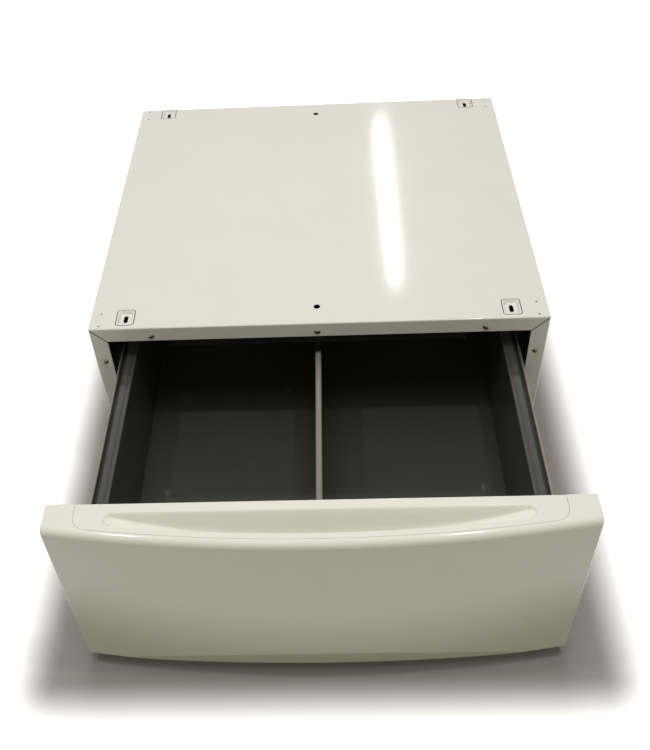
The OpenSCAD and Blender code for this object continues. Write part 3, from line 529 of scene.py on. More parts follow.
@dataclass(frozen=True)
class Finish:
    """What a surface is made of and how it was made.

    Attributes:
        name: The real material and finish.
        slot: The record's material slot.
        colour: Main colour.
        tint: Colour that it drifts towards, in patches.
        patch: Size of those patches, in metres.
        rough: Roughness of the surface.
        rough_drift: How far the roughness drifts either way.
        metallic: 1 for bare metal.
        ior: Index of refraction of a coat of paint or of plastic.
        pattern: How the surface was made.
        grain: Size of the surface grain, in metres.
        relief: Height of the grain, in metres.
    """

    name: str
    slot: str
    colour: str
    tint: str
    patch: float
    rough: float
    rough_drift: float = 0.02
    metallic: float = 0.0
    ior: float = 1.5
    pattern: Pattern = Pattern.PEEL
    grain: float = 1.5 * MM
    relief: float = 0.02 * MM

    def material(self) -> bpy.types.Material:
        """Gives the finish's material, made when it is first asked for.

        Returns:
            The material.
        """
        made = bpy.data.materials.get(self.name)
        if made:
            return made
        made = bpy.data.materials.new(self.name)
        tree = cleared(made)
        place = add_node(tree, "ShaderNodeTexCoord").outputs["Object"]
        surface = add_node(tree, "ShaderNodeBsdfPrincipled", {"Metallic": self.metallic})
        if not self.metallic:
            surface.inputs["IOR"].default_value = self.ior
        grain = self.grain_at(tree, place)
        tree.links.new(self.colour_at(tree, place, grain), surface.inputs["Base Color"])
        tree.links.new(self.roughness_at(tree, place, grain), surface.inputs["Roughness"])
        depth = {"Height": grain, "Distance": self.relief, "Strength": 1.0}
        bump = add_node(tree, "ShaderNodeBump", depth)
        tree.links.new(bump.outputs["Normal"], surface.inputs["Normal"])
        add_node(tree, "ShaderNodeOutputMaterial", {"Surface": surface.outputs["BSDF"]})
        return made

    def grain_at(self, tree: Tree, place: Socket) -> Socket:
        """Draws the fine grain of the surface.

        Args:
            tree: The material's node tree.
            place: Place on the piece.

        Returns:
            Height of the grain, from 0 to 1.
        """
        spots = {"Vector": place, "Scale": 1 / self.grain}
        if self.pattern is Pattern.SPANGLE:
            cells = add_node(tree, "ShaderNodeTexVoronoi", spots, feature="F1")
            shade = add_node(tree, "ShaderNodeSeparateColor", {"Color": cells.outputs["Color"]})
            return shade.outputs["Red"]
        if self.pattern is Pattern.ROLLED:
            lines = add_node(tree, "ShaderNodeMapping", {"Vector": place, "Scale": (1, DRAWN_OUT, 1)})
            spots["Vector"] = lines.outputs["Vector"]
        spots["Detail"] = 0.0 if self.pattern is Pattern.PEEL else 3.0
        return add_node(tree, "ShaderNodeTexNoise", spots).outputs["Fac"]

    def colour_at(self, tree: Tree, place: Socket, grain: Socket) -> Socket:
        """Mixes the main colour and the tint, by patch, or by patch and grain on bare metal.

        Args:
            tree: The material's node tree.
            place: Place on the piece.
            grain: Height of the grain.

        Returns:
            The colour.
        """
        patches = {"Vector": place, "Scale": 1 / self.patch, "Detail": 3.0}
        share = add_node(tree, "ShaderNodeTexNoise", patches).outputs["Fac"]
        if self.metallic:
            share = add_node(tree, "ShaderNodeMath", {0: share, 1: grain}, operation="MULTIPLY").outputs[0]
            share = add_node(tree, "ShaderNodeMath", {0: share, 1: 2.0}, operation="MULTIPLY").outputs[0]
        mix = add_node(tree, "ShaderNodeMix", {"Factor": share}, data_type="RGBA")
        for socket in mix.inputs:
            if socket.type == "RGBA":
                socket.default_value = linear(self.colour if socket.name == "A" else self.tint)
        return next(socket for socket in mix.outputs if socket.type == "RGBA")

    def roughness_at(self, tree: Tree, place: Socket, grain: Socket) -> Socket:
        """Lets the roughness drift from place to place, or from crystal to crystal on dipped zinc.

        Args:
            tree: The material's node tree.
            place: Place on the piece.
            grain: Height of the grain.

        Returns:
            The roughness.
        """
        drift = grain
        if self.pattern is not Pattern.SPANGLE:
            blotches = {"Vector": place, "Scale": BLOTCH / self.patch, "Detail": 2.0}
            drift = add_node(tree, "ShaderNodeTexNoise", blotches).outputs["Fac"]
        low, high = self.rough - self.rough_drift, self.rough + self.rough_drift
        reach = {"Value": drift, "To Min": low, "To Max": high}
        return add_node(tree, "ShaderNodeMapRange", reach).outputs["Result"]


# White appliance enamel, sprayed and baked: even warm white and glossy. Its orange peel has
# ripples about 1.5 mm apart, which break the edges of a reflected lamp into glitter.
WHITE_ENAMEL = Finish("White appliance enamel", "enamel", "#E1DFD8", "#DDDBD2", 90 * MM, 0.085)
# Charcoal appliance enamel on the drawer box: near black, with reflections that keep their edges.
CHARCOAL_ENAMEL = Finish("Charcoal appliance enamel", "charcoal_enamel", "#434440", "#3D3E3A",
                         60 * MM, 0.07, relief=0.006 * MM)
# Dark primer, near black and hardly glossy: the own coat of the stiffener behind the top flange. On the
# corner gussets it paints the shade in the open mitre joint in front of them. In the creases round the
# deck's pads it paints the creases' shade.
CHARCOAL_PRIMER_AND_PAINTED_SHADE = Finish("Charcoal primer and painted shade", "charcoal_enamel", "#161614", "#121210",
                         40 * MM, 0.38, 0.05, ior=1.35, relief=0.01 * MM)
# Hot-dip galvanised sheet: dull grey zinc whose crystals are a few millimetres across.
GALVANISED = Finish("Galvanised sheet steel", "galvanised", "#A9ABA8", "#969999",
                    14 * MM, 0.42, 0.07, 1.0, pattern=Pattern.SPANGLE, grain=6 * MM, relief=0.01 * MM)
# Cold-rolled steel slide members, zinc plated and oiled: satin, with fine lines along their length.
SLIDE_STEEL = Finish("Zinc-plated rolled steel", "slide_steel", "#B6B7B5", "#9FA19F",
                     30 * MM, 0.3, 0.05, 1.0, pattern=Pattern.ROLLED, grain=0.8 * MM, relief=0.008 * MM)
# Thin pressed strip of the ball cages: a little darker than the members, with the same lines.
CAGE_STEEL = Finish("Pressed cage strip", "cage_steel", "#9A9890", "#83817A",
                    20 * MM, 0.36, 0.05, 1.0, pattern=Pattern.ROLLED, grain=0.8 * MM, relief=0.008 * MM)
# Polished bearing balls with a film of grease: near mirrors, dulled in patches.
BALL_STEEL = Finish("Polished bearing steel", "ball_steel", "#C9CACC", "#B4B3AE",
                    3 * MM, 0.1, 0.05, 1.0, pattern=Pattern.PLATED, grain=0.8 * MM, relief=0.002 * MM)
# Moulded front of the drawer, gloss painted to match the cabinet: longer, softer ripples than the
# sheet's.
MOULDED_WHITE = Finish("Gloss-painted moulding", "moulded_white", "#E8E6DE", "#E5E3D9",
                       120 * MM, 0.095, grain=4 * MM, relief=0.02 * MM)
# Bright zinc plate on the screws, nuts and studs: warm grey, with a grain finer than shows at this
# distance, drawn at 0.6 mm.
ZINC = Finish("Bright zinc plate", "zinc", "#8B8678", "#6B675C",
              4 * MM, 0.26, 0.08, 1.0, pattern=Pattern.PLATED, grain=0.6 * MM, relief=0.01 * MM)
# Zinc with a yellow passivation on the bare hems of the drawer sides: a dull tan metal.
PASSIVATED = Finish("Yellow-passivated zinc", "galvanised", "#9A8F7B", "#7E7464",
                    9 * MM, 0.5, 0.08, 1.0, pattern=Pattern.ROLLED, grain=0.8 * MM, relief=0.01 * MM)
# Extruded vinyl edging on the divider: mid grey with a soft sheen.
GREY_VINYL = Finish("Extruded grey vinyl", "charcoal_enamel", "#827F74", "#747267",
                    12 * MM, 0.3, 0.06, pattern=Pattern.ROLLED, grain=1.2 * MM, relief=0.015 * MM)
# Moulded black rubber: matt, faintly pitted, with a pale bloom in patches.
RUBBER = Finish("Moulded black rubber", "black_rubber", "#1D1D1C", "#2B2B29",
                8 * MM, 0.7, 0.06, pattern=Pattern.MOULDED, grain=0.7 * MM, relief=0.05 * MM)

# One finish to each of the record's slots, for the CAD nodes.
FINISHES = (WHITE_ENAMEL, CHARCOAL_ENAMEL, GALVANISED, SLIDE_STEEL, CAGE_STEEL, BALL_STEEL,
            MOULDED_WHITE, ZINC, RUBBER)


# ---- the drawer front ----


@dataclass
class DrawerFront:
    """Moulded bow front: an open-backed shell with a handle insert along its top.

    Attributes:
        end_depth: Depth of the shell at its ends.
        bow: How far the middle stands forward of the ends.
        wall: Wall of the moulding.
        top_radius: Edge radius along the top of the face.
        bottom_radius: Edge radius along the bottom of the face.
        end_radius: Radius of the edges round each end.
        back_radius: Radius of the edge round the open back.
        tuck_in: How far the lower edge is tucked under.
        tuck_height: Height of the tucked part in the middle.
        tuck_sweep: Radius of the tucked part in plan.
        insert_end: Length of the front beyond each end of the insert.
        insert_corner: Corner radius of the insert in plan.
        seam: Parting line round the insert.
        scoop_end: Length of the front beyond each end of the scoop.
        scoop_back: Rim behind the scoop.
        scoop_front: Rim in front of the scoop.
        scoop_depth: Depth of the scoop in the middle.
        scoop_end_depth: Depth of the scoop at its ends.
        scoop_back_slope: Slope of the scoop's back wall, in degrees.
        scoop_front_slope: Slope of its front wall.
        scoop_end_slope: Slope of its ends.
        scoop_back_roll: Radius with which the back rim rolls in.
        scoop_front_roll: Radius with which the front rim rolls in.
        seam_in: How far behind the rounded top edge the seam in front of the insert runs.
        seam_edge: Radius of the edges along the seam.
        round_steps: Steps round the top edge, the bottom edge, and the edges of ends and back.
        bow_steps: Steps of each half of the bow.
        arc_steps: Steps round a full circle with the bow's or the tuck's radius.
        corner_steps: Steps round a full circle with the insert's corner radius.
        plan_flat: Angle up to which the insert's flat faces are merged, in degrees.
        scoop_steps: Steps along and across the scoop.
        blend: Angle between faces up to which they are shaded as one, in degrees.
    """

    end_depth: float = 41 * MM
    bow: float = 28 * MM
    wall: float = 2.8 * MM
    top_radius: float = 10 * MM
    bottom_radius: float = 6 * MM
    end_radius: float = 5 * MM
    back_radius: float = 1.4 * MM
    tuck_in: float = 8.5 * MM
    tuck_height: float = 41 * MM
    tuck_sweep: float = 3500 * MM
    insert_end: float = 38.9 * MM
    insert_corner: float = 19 * MM
    seam: float = 0.4 * MM
    scoop_end: float = 74.9 * MM
    scoop_back: float = 13.6 * MM
    scoop_front: float = 18.4 * MM
    scoop_depth: float = 34 * MM
    scoop_end_depth: float = 2.5 * MM
    scoop_back_slope: float = 65
    scoop_front_slope: float = 84
    scoop_end_slope: float = 55
    scoop_back_roll: float = 2.5 * MM
    scoop_front_roll: float = 0.8 * MM
    seam_in: float = 0.5 * MM
    seam_edge: float = 0.25 * MM
    round_steps: tuple[int, int, int, int] = (16, 12, 6, 4)
    bow_steps: int = 48
    arc_steps: int = 1440
    corner_steps: int = 96
    plan_flat: float = 0.05
    scoop_steps: tuple[int, int] = (144, 56)
    blend: float = 8

    def __post_init__(self) -> None:
        """Takes the overall box from the CAD node."""
        self.low, self.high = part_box("front_shell")
        self.half = self.high.x
        self.back = self.high.y
        self.bow_radius = (self.half**2 + self.bow**2) / (2 * self.bow)
        self.bow_axis = self.low.y + self.bow_radius
        self.seam_radius = self.bow_radius - self.top_radius - self.seam_in
        self.insert_half = self.half - self.insert_end
        self.scoop_half = self.half - self.scoop_end

    def build(self) -> None:
        """Makes the shell and the handle insert."""
        self.shell().dress(MOULDED_WHITE, "drawer", "front_shell")
        self.insert().dress(MOULDED_WHITE, "drawer", "handle_insert")

    def arc_y(self, x: float, radius: float) -> float:
        """Y of an arc about the bow's axis, on its front side."""
        return self.bow_axis - math.sqrt(radius**2 - x**2)

    def bowed_block(self) -> Workpiece:
        """Sweeps the upright section with its two rounded edges along the bow.

        Returns:
            The solid block, cut off flat at its back and its two ends.
        """
        depth = self.end_depth + self.bow + SPARE
        thin = 1 * MM
        face_y = self.low.y + thin
        block = Workpiece.block(
            "drawer_front_shell",
            Vector((-thin, self.low.y, self.low.z)),
            Vector((0, self.low.y + depth, self.high.z)),
        )
        block.drop(lambda face: face.calc_center_median().x < -thin / 4)
        top_steps, bottom_steps = self.round_steps[:2]
        block.bevel(lambda v: v.co.y < face_y and v.co.z > self.high.z - thin,
                    self.top_radius, top_steps, Part.VERT)
        block.bevel(lambda v: v.co.y < face_y and v.co.z < self.low.z + thin,
                    self.bottom_radius, bottom_steps, Part.VERT)
        beyond_end = 1.02
        reach = beyond_end * math.asin(self.half / (self.bow_radius - depth))
        with block.picked(Part.FACE, lambda face: True):
            bpy.ops.mesh.spin(
                steps=self.bow_steps, angle=reach, center=(0, self.bow_axis, 0), axis=(0, 0, 1)
            )
        block.drop(lambda face: all(abs(v.co.x) < NOTHING for v in face.verts))
        block.modify("MIRROR", use_axis=(True, False, False), use_mirror_merge=True, merge_threshold=HAIR)
        block.merge()
        block.cut(Vector((0, self.back, 0)), Vector((0, 1, 0)))
        for side in (-1, 1):
            block.cut(Vector((side * self.half, 0, 0)), Vector((side, 0, 0)))
        block.face_out()
        return block

    def in_insert_plan(self, x: float, y: float, grow: float) -> bool:
        """True where a point lies inside the box and arc round the insert."""
        return abs(x) < self.insert_half + grow and y > self.arc_y(x, self.seam_radius + grow)

    def insert_prism(self, name: str, grow: float, low: float, high: float) -> Workpiece:
        """Upright prism over the plan of the insert, open to the back.

        Args:
            name: Name of the prism.
            grow: How far its outline stands outside the insert's.
            low: Its lower end.
            high: Its upper end.

        Returns:
            The prism.
        """
        radius = self.seam_radius + grow
        corner = self.insert_corner + grow
        half = self.insert_half + grow
        corner_x = half - corner
        corner_y = self.bow_axis - math.sqrt((radius - corner) ** 2 - corner_x**2)
        contact = corner_x * radius / (radius - corner)
        back = self.back + (SPARE if grow else 0)
        tall = high - low
        prism = Workpiece.rod(name, Vector((0, self.bow_axis, low)), radius, tall, self.arc_steps)
        prism.cut(Vector((0, back, 0)), Vector((0, 1, 0)))
        for side in (-1, 1):
            prism.cut(Vector((side * contact, 0, 0)), Vector((side, 0, 0)))
            foot = Vector((side * corner_x, corner_y, low))
            prism.combine(Workpiece.rod("corner", foot, corner, tall, self.corner_steps), Meeting.WELD)
        ends = Workpiece.block("ends", Vector((-half, corner_y, low)), Vector((half, back, high)))
        prism.combine(ends, Meeting.WELD)
        prism.merge()
        prism.flatten(self.plan_flat)
        prism.face_out()
        return prism

    def shell(self) -> Workpiece:
        """Shapes the shell, with its tucked lower edge and the opening for the insert.

        Returns:
            The shell, open at its back.
        """
        shell = self.bowed_block()
        lean = math.atan(self.tuck_in / self.tuck_height)
        crease = Vector((0, self.low.y, self.low.z + self.tuck_height))
        axis = Vector((0, -math.sin(lean), math.cos(lean)))
        across = Vector((0, math.cos(lean), math.sin(lean)))
        below, tall = 100 * MM, 800 * MM
        foot = crease + across * self.tuck_sweep - axis * below
        tuck = Workpiece.rod("tuck", foot, self.tuck_sweep, tall, self.arc_steps, lean)
        shell.combine(tuck, Meeting.KEEP_OVERLAP)
        floor = self.high.z - self.wall
        opening = self.insert_prism("opening", self.seam, floor, self.high.z + SPARE)
        shell.combine(opening, Meeting.CUT)
        end_x = self.half - HAIR
        end_steps = self.round_steps[2]
        shell.bevel(lambda e: all(abs(v.co.x) > end_x for v in e.verts), self.end_radius, end_steps)
        clear = 0.5 * MM

        def left_open(face: bmesh.types.BMFace) -> bool:
            """True for a face of the open back, or of the floor and walls of the opening.

            Args:
                face: Face of the shell.

            Returns:
                Whether it goes.
            """
            spot = middle(face)
            if spot.y > self.back - HAIR:
                return True
            within = floor - clear < spot.z < self.high.z - clear
            return within and self.in_insert_plan(spot.x, spot.y, self.seam + 2 * HAIR)

        shell.drop(left_open)
        return self.walled(shell)

    def walled(self, skin: Workpiece) -> Workpiece:
        """Gives an open skin its wall and rounds the edges of its openings.

        Args:
            skin: The outer skin, with its faces pointing outwards.

        Returns:
            The same workpiece.
        """
        skin.modify(
            "SOLIDIFY", thickness=self.wall, offset=-1.0, use_even_offset=True, use_quality_normals=True
        )
        sharp_angle = 1.0

        def sharp(e: bmesh.types.BMEdge) -> bool:
            """True for an edge where two faces meet nearly square."""
            return e.is_manifold and e.calc_face_angle() > sharp_angle

        def behind(e: bmesh.types.BMEdge) -> bool:
            """True for an edge round the open back."""
            return min(v.co.y for v in e.verts) > self.back - HAIR

        def on_top(e: bmesh.types.BMEdge) -> bool:
            """True for an edge in the flat top."""
            return min(v.co.z for v in e.verts) > self.high.z - HAIR

        back_steps = self.round_steps[3]
        skin.bevel(lambda e: sharp(e) and behind(e) and self.outer(e), self.back_radius, back_steps)
        skin.bevel(lambda e: sharp(e) and on_top(e), self.seam_edge, 2)
        skin.smooth(self.blend)
        return skin

    def outer(self, e: bmesh.types.BMEdge) -> bool:
        """Tells the outer edges of the open back from those inside the wall.

        Args:
            e: Edge round the open back.

        Returns:
            True for an edge on the outside of the front.
        """
        half_wall = self.wall / 2
        spot = middle(e)
        at_side = abs(spot.x) > self.half - (half_wall + self.end_radius)
        return at_side or spot.z > self.high.z - half_wall or spot.z < self.low.z + half_wall

    def scoop_outline(self, x: float) -> tuple[float, float]:
        """Draws the scoop's rim: a straight back, a front along the bow, and round ends.

        Args:
            x: Distance from the middle, to either side.

        Returns:
            Y of the front and of the back of the rim.
        """
        back = self.back - self.scoop_back
        radius = self.bow_radius - self.scoop_front
        reach = self.bow_axis - back
        # The end circle touches the back, the end and the front's arc, which gives its radius.
        half_b = reach + radius - self.scoop_half
        end = -half_b + math.sqrt(half_b**2 + radius**2 - reach**2 - self.scoop_half**2)
        end_x, end_y = self.scoop_half - end, back - end
        contact = end_x * radius / (radius - end)
        x = abs(x)
        round_off = math.sqrt(max(end**2 - max(x - end_x, 0) ** 2, 0))
        front = self.arc_y(x, radius) if x < contact else end_y - round_off
        return front, end_y + round_off

    def scoop_point(self, spot: Vector) -> Vector:
        """Place of a point of the scoop's surface.

        Its walls slope down from the rim, each at its own steepness, to a floor that rises towards
        the ends. Where two of them meet, the lower value wins, with a rounded corner between them.

        Args:
            spot: Point of a flat grid from -1 to 1 along and across the scoop.

        Returns:
            The point in the frame.
        """
        x = self.scoop_half * math.sin(spot.x * math.pi / 2)
        front, back = self.scoop_outline(x)
        y = front + (back - front) * (1 + math.sin(spot.y * math.pi / 2)) / 2
        end_front, end_back = self.scoop_outline(self.scoop_half)
        tip = self.back - self.scoop_back - end_back
        beyond = max(abs(x) - (self.scoop_half - tip), 0)
        from_end = tip - math.hypot(beyond, y - (end_front + end_back) / 2) if beyond else self.scoop_half
        fall = self.scoop_depth - self.scoop_end_depth
        floor_radius = (self.scoop_half**2 + fall**2) / (2 * fall)
        floor = self.scoop_depth - floor_radius + math.sqrt(floor_radius**2 - x**2)
        depths = (
            floor,
            self.wall_depth(back - y, self.scoop_back_slope, self.scoop_back_roll),
            self.wall_depth(y - front, self.scoop_front_slope, self.scoop_front_roll),
            self.wall_depth(from_end, self.scoop_end_slope, self.scoop_back_roll),
        )
        if min(depths) < NOTHING:
            return Vector((x, y, self.high.z))
        blended = sum(depth**-SCOOP_CREASE for depth in depths) ** (-1 / SCOOP_CREASE)
        return Vector((x, y, self.high.z - blended))

    def wall_depth(self, inside: float, slope: float, roll: float) -> float:
        """Depth of a wall of a slope in degrees that rolls in from a rim, at a distance inside it."""
        inside = max(inside, 0)
        return math.tan(math.radians(slope)) * (math.sqrt(inside**2 + roll**2) - roll)

    def insert(self) -> Workpiece:
        """Shapes the handle insert, a flat rim with the scoop sunk into it.

        Returns:
            The insert.
        """
        top = self.high.z
        insert = self.insert_prism("drawer_handle_insert", 0, top - self.wall, top)
        insert.drop(lambda face: middle(face).z < top - HAIR)
        with insert.picked(Part.FACE, lambda face: True):
            bpy.ops.mesh.delete(type="ONLY_FACE")
        deselect()
        along, across = self.scoop_steps
        bpy.ops.mesh.primitive_grid_add(x_subdivisions=along, y_subdivisions=across, size=2)
        scoop = Workpiece.added("scoop")
        scoop.shape(self.scoop_point)
        scoop.merge()
        insert.join(scoop)
        with insert.picked(Part.EDGE, lambda e: len(e.link_faces) < 2):
            bpy.ops.mesh.fill(use_beauty=True)
        insert.face_out()
        if max(insert.obj.data.polygons, key=lambda f: f.area).normal.z < 0:
            with insert.picked(Part.FACE, lambda face: True):
                bpy.ops.mesh.flip_normals()
        return self.walled(insert)


# ---- sheet metal and fittings ----


def upright(e: bmesh.types.BMEdge) -> bool:
    """True for an edge that stands upright."""
    return abs(e.verts[0].co.z - e.verts[1].co.z) > 1 * MM


def lengthwise(e: bmesh.types.BMEdge) -> bool:
    """True for an edge that runs from front to back."""
    return abs(e.verts[0].co.y - e.verts[1].co.y) > 10 * MM


def refined(node: str, finish: Finish, edge: float, segments: int = 2) -> None:
    """Copies a CAD node with merged faces and softened edges, to stand in for it.

    Args:
        node: Name of the CAD node.
        finish: Finish of the piece.
        edge: Radius of its edges.
        segments: Steps across an edge.
    """
    source = bpy.data.objects[node]
    piece = Workpiece.from_node(f"soft_{node}", source)
    piece.soften(edge, segments)
    piece.smooth()
    piece.dress(finish, source["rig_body"], node)


@dataclass
class Cabinet:
    """Folded sheet cabinet with its deck, flanges and inner rails.

    Attributes:
        edge: Radius that the enamel gives a cut edge.
        pad_in_x: Middle of a pressed pad, from the middle of the deck.
        pad_front: Middle of the front pads, behind the face of the top flange.
        pad_rear: Middle of the rear pads, ahead of the back of the deck.
        pad_half: Half the width and half the length of a pad's rim.
        pad_slot: Half the width and length round its slot that stay as they are, as a share of these.
        pad_share: Width and length to which its floor is drawn in, as shares of the folded one's.
        pad_sink: How much deeper the drawn pad is than its folded start.
        rim_half: Half the width and half the length inside the crease round a pad.
        rim_wide: Width of the crease.
        rim_deep: Depth of the crease.
        rim_corner: Its corner radius.
        crease_shade_share: How far below the deck the top of the near-black ring that paints a crease's
            shade lies, as a share of the crease's depth.
        sheet: Thickness of the sheet.
        mitre_gap: Open joint along the mitre of the front flanges.
        mitre_ease: How much further the enamelled edge of that joint stands back.
        hole_in_x: Place of the tooling holes, in from the side of the deck.
        hole_ys: Their two places, in from the front or back of the deck.
        hole_radius: Radius of the holes in the fold under them.
        flange_depth: Depth behind the face within which the front flange's edges lie.
    """

    edge: float = 0.35 * MM
    pad_in_x: float = 289 * MM
    pad_front: float = 25 * MM
    pad_rear: float = 18 * MM
    pad_half: tuple[float, float] = (12 * MM, 16 * MM)
    pad_slot: float = 0.65
    pad_share: tuple[float, float] = (0.76, 0.86)
    pad_sink: float = 1.5 * MM
    rim_half: tuple[float, float] = (13 * MM, 16.6 * MM)
    rim_wide: float = 1.3 * MM
    rim_deep: float = 0.9 * MM
    rim_corner: float = 4 * MM
    crease_shade_share: float = 0.35
    sheet: float = 1.2 * MM
    mitre_gap: float = 1.4 * MM
    mitre_ease: float = 1.4 * MM
    hole_in_x: float = 15.9 * MM
    hole_ys: tuple[float, float] = (7 * MM, 34.7 * MM)
    hole_radius: float = 2.4 * MM
    flange_depth: float = 3 * MM

    def build(self) -> None:
        """Makes the deck, the panels and the frame inside."""
        self.deck()
        for node in ("left_side_panel", "right_side_panel"):
            self.side_panel(node)
        for node in ("back_panel", "left_deck_brace", "right_deck_brace", "base_front_rail",
                     "base_rear_rail"):
            refined(node, WHITE_ENAMEL, self.edge)
        # The gussets' near black paints the shade in the open mitre joint in front of them; the stiffener
        # behind the top flange has its own dark primer.
        for node in ("front_stiffener", "left_corner_gusset", "right_corner_gusset"):
            refined(node, CHARCOAL_PRIMER_AND_PAINTED_SHADE, self.edge)
        for node in ("left_slide_carrier", "right_slide_carrier"):
            refined(node, GALVANISED, self.edge)

    def deck(self) -> None:
        """Makes the deck, with walls that slope down into its four pressed pads, and near-black rings in
        the creases round them that paint the creases' shade.
        """
        deck = Workpiece.from_node("enamelled_deck", bpy.data.objects["top_panel"])
        low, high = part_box("top_panel")
        # Top of the near-black rings that paint the shade in the creases round the pads.
        bare = high.z - self.rim_deep * self.crease_shade_share
        for side, x in (("left", -self.pad_in_x), ("right", self.pad_in_x)):
            for end, y in (("front", low.y + self.pad_front), ("rear", high.y - self.pad_rear)):
                centre = Vector((x, y, high.z))
                self.press(deck, centre)
                deck.combine(self.pad_rim("pad_rim", centre), Meeting.CUT)
                # Near-black ring sunk in the crease: painted shade.
                coat = self.pad_rim(f"pad_crease_{side}_{end}", centre)
                coat.shape(lambda spot: Vector((spot.x, spot.y, min(spot.z, bare))))
                coat.dress(CHARCOAL_PRIMER_AND_PAINTED_SHADE, "cabinet")
        deck.soften(self.edge, segments=3, angle=20)
        deck.smooth()
        deck.dress(WHITE_ENAMEL, "cabinet", "top_panel")

    def side_panel(self, node: str) -> None:
        """Makes one side panel, its mitred edge eased back and its fold pierced under the tooling holes.

        Args:
            node: Name of the panel's CAD node.
        """
        piece = Workpiece.from_node(f"folded_{node}", bpy.data.objects[node])
        low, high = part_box("top_panel")
        side = 1 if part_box(node)[1].x > 0 else -1

        def on_mitre(vert: bmesh.types.BMVert) -> bool:
            """True for a vertex of the mitred edge of the front flange."""
            line = side * vert.co.x - high.x + high.z - self.mitre_gap * math.sqrt(2)
            return vert.co.y < low.y + self.flange_depth and abs(vert.co.z - line) < 0.5 * MM

        with piece.picked(Part.VERT, on_mitre) as count:
            LOG.info("%s: %d vertices of the mitre eased back", node, count)
            bpy.ops.transform.translate(value=(0, 0, -self.mitre_ease))
        below, tall, sides = 12 * MM, 20 * MM, 24
        for y in [low.y + inset for inset in self.hole_ys] + [high.y - inset for inset in self.hole_ys]:
            foot = Vector((side * (high.x - self.hole_in_x), y, high.z - below))
            piece.combine(Workpiece.rod("punch", foot, self.hole_radius, tall, sides), Meeting.CUT)
        piece.soften(self.edge)
        piece.smooth()
        piece.dress(WHITE_ENAMEL, "cabinet", node)

    def pad_rim(self, name: str, centre: Vector) -> Workpiece:
        """Makes a ring in the shallow crease round one pad: the cutter of the crease, and the near-black
        ring that paints its shade.

        Args:
            name: Name of the ring.
            centre: Middle of the pad, level with the deck.

        Returns:
            The ring, from the bottom of the crease to a little above the deck.
        """
        blocks = []
        for grow, beyond in ((self.rim_wide, 0), (0, 1 * MM)):
            half_x, half_y = (half + grow for half in self.rim_half)
            low = Vector((-half_x, -half_y, -self.rim_deep - beyond))
            block = Workpiece.block(name, centre + low, centre + Vector((half_x, half_y, SPARE + beyond)))
            block.bevel(upright, self.rim_corner + grow, segments=6)
            blocks.append(block)
        ring, inside = blocks
        ring.combine(inside, Meeting.CUT)
        return ring

    def press(self, deck: Workpiece, centre: Vector) -> None:
        """Draws in and down the floor of one pressed pad, so that its walls slope.

        Args:
            deck: The deck.
            centre: Middle of the pad, level with the deck.
        """
        reach_x, reach_y = (half + 2 * self.sheet for half in self.pad_half)
        slot_x, slot_y = (half * self.pad_slot for half in self.pad_half)
        bottom, top = centre.z - 4 * self.sheet, centre.z - 1.5 * self.sheet

        def on_floor(vert: bmesh.types.BMVert) -> bool:
            """True for a vertex of the floor or its slot, above or below the sheet."""
            x, y = abs(vert.co.x - centre.x), abs(vert.co.y - centre.y)
            return x < reach_x and y < reach_y and bottom < vert.co.z < top

        def on_outline(vert: bmesh.types.BMVert) -> bool:
            """True for a vertex of the floor's outline."""
            x, y = abs(vert.co.x - centre.x), abs(vert.co.y - centre.y)
            return on_floor(vert) and (x > slot_x or y > slot_y)

        with deck.picked(Part.VERT, on_outline) as count:
            LOG.info("pad at %.3f, %.3f: %d vertices drawn in", centre.x, centre.y, count)
            bpy.ops.transform.resize(value=(*self.pad_share, 1), center_override=centre)
        with deck.picked(Part.VERT, on_floor):
            bpy.ops.transform.translate(value=(0, 0, -self.pad_sink))


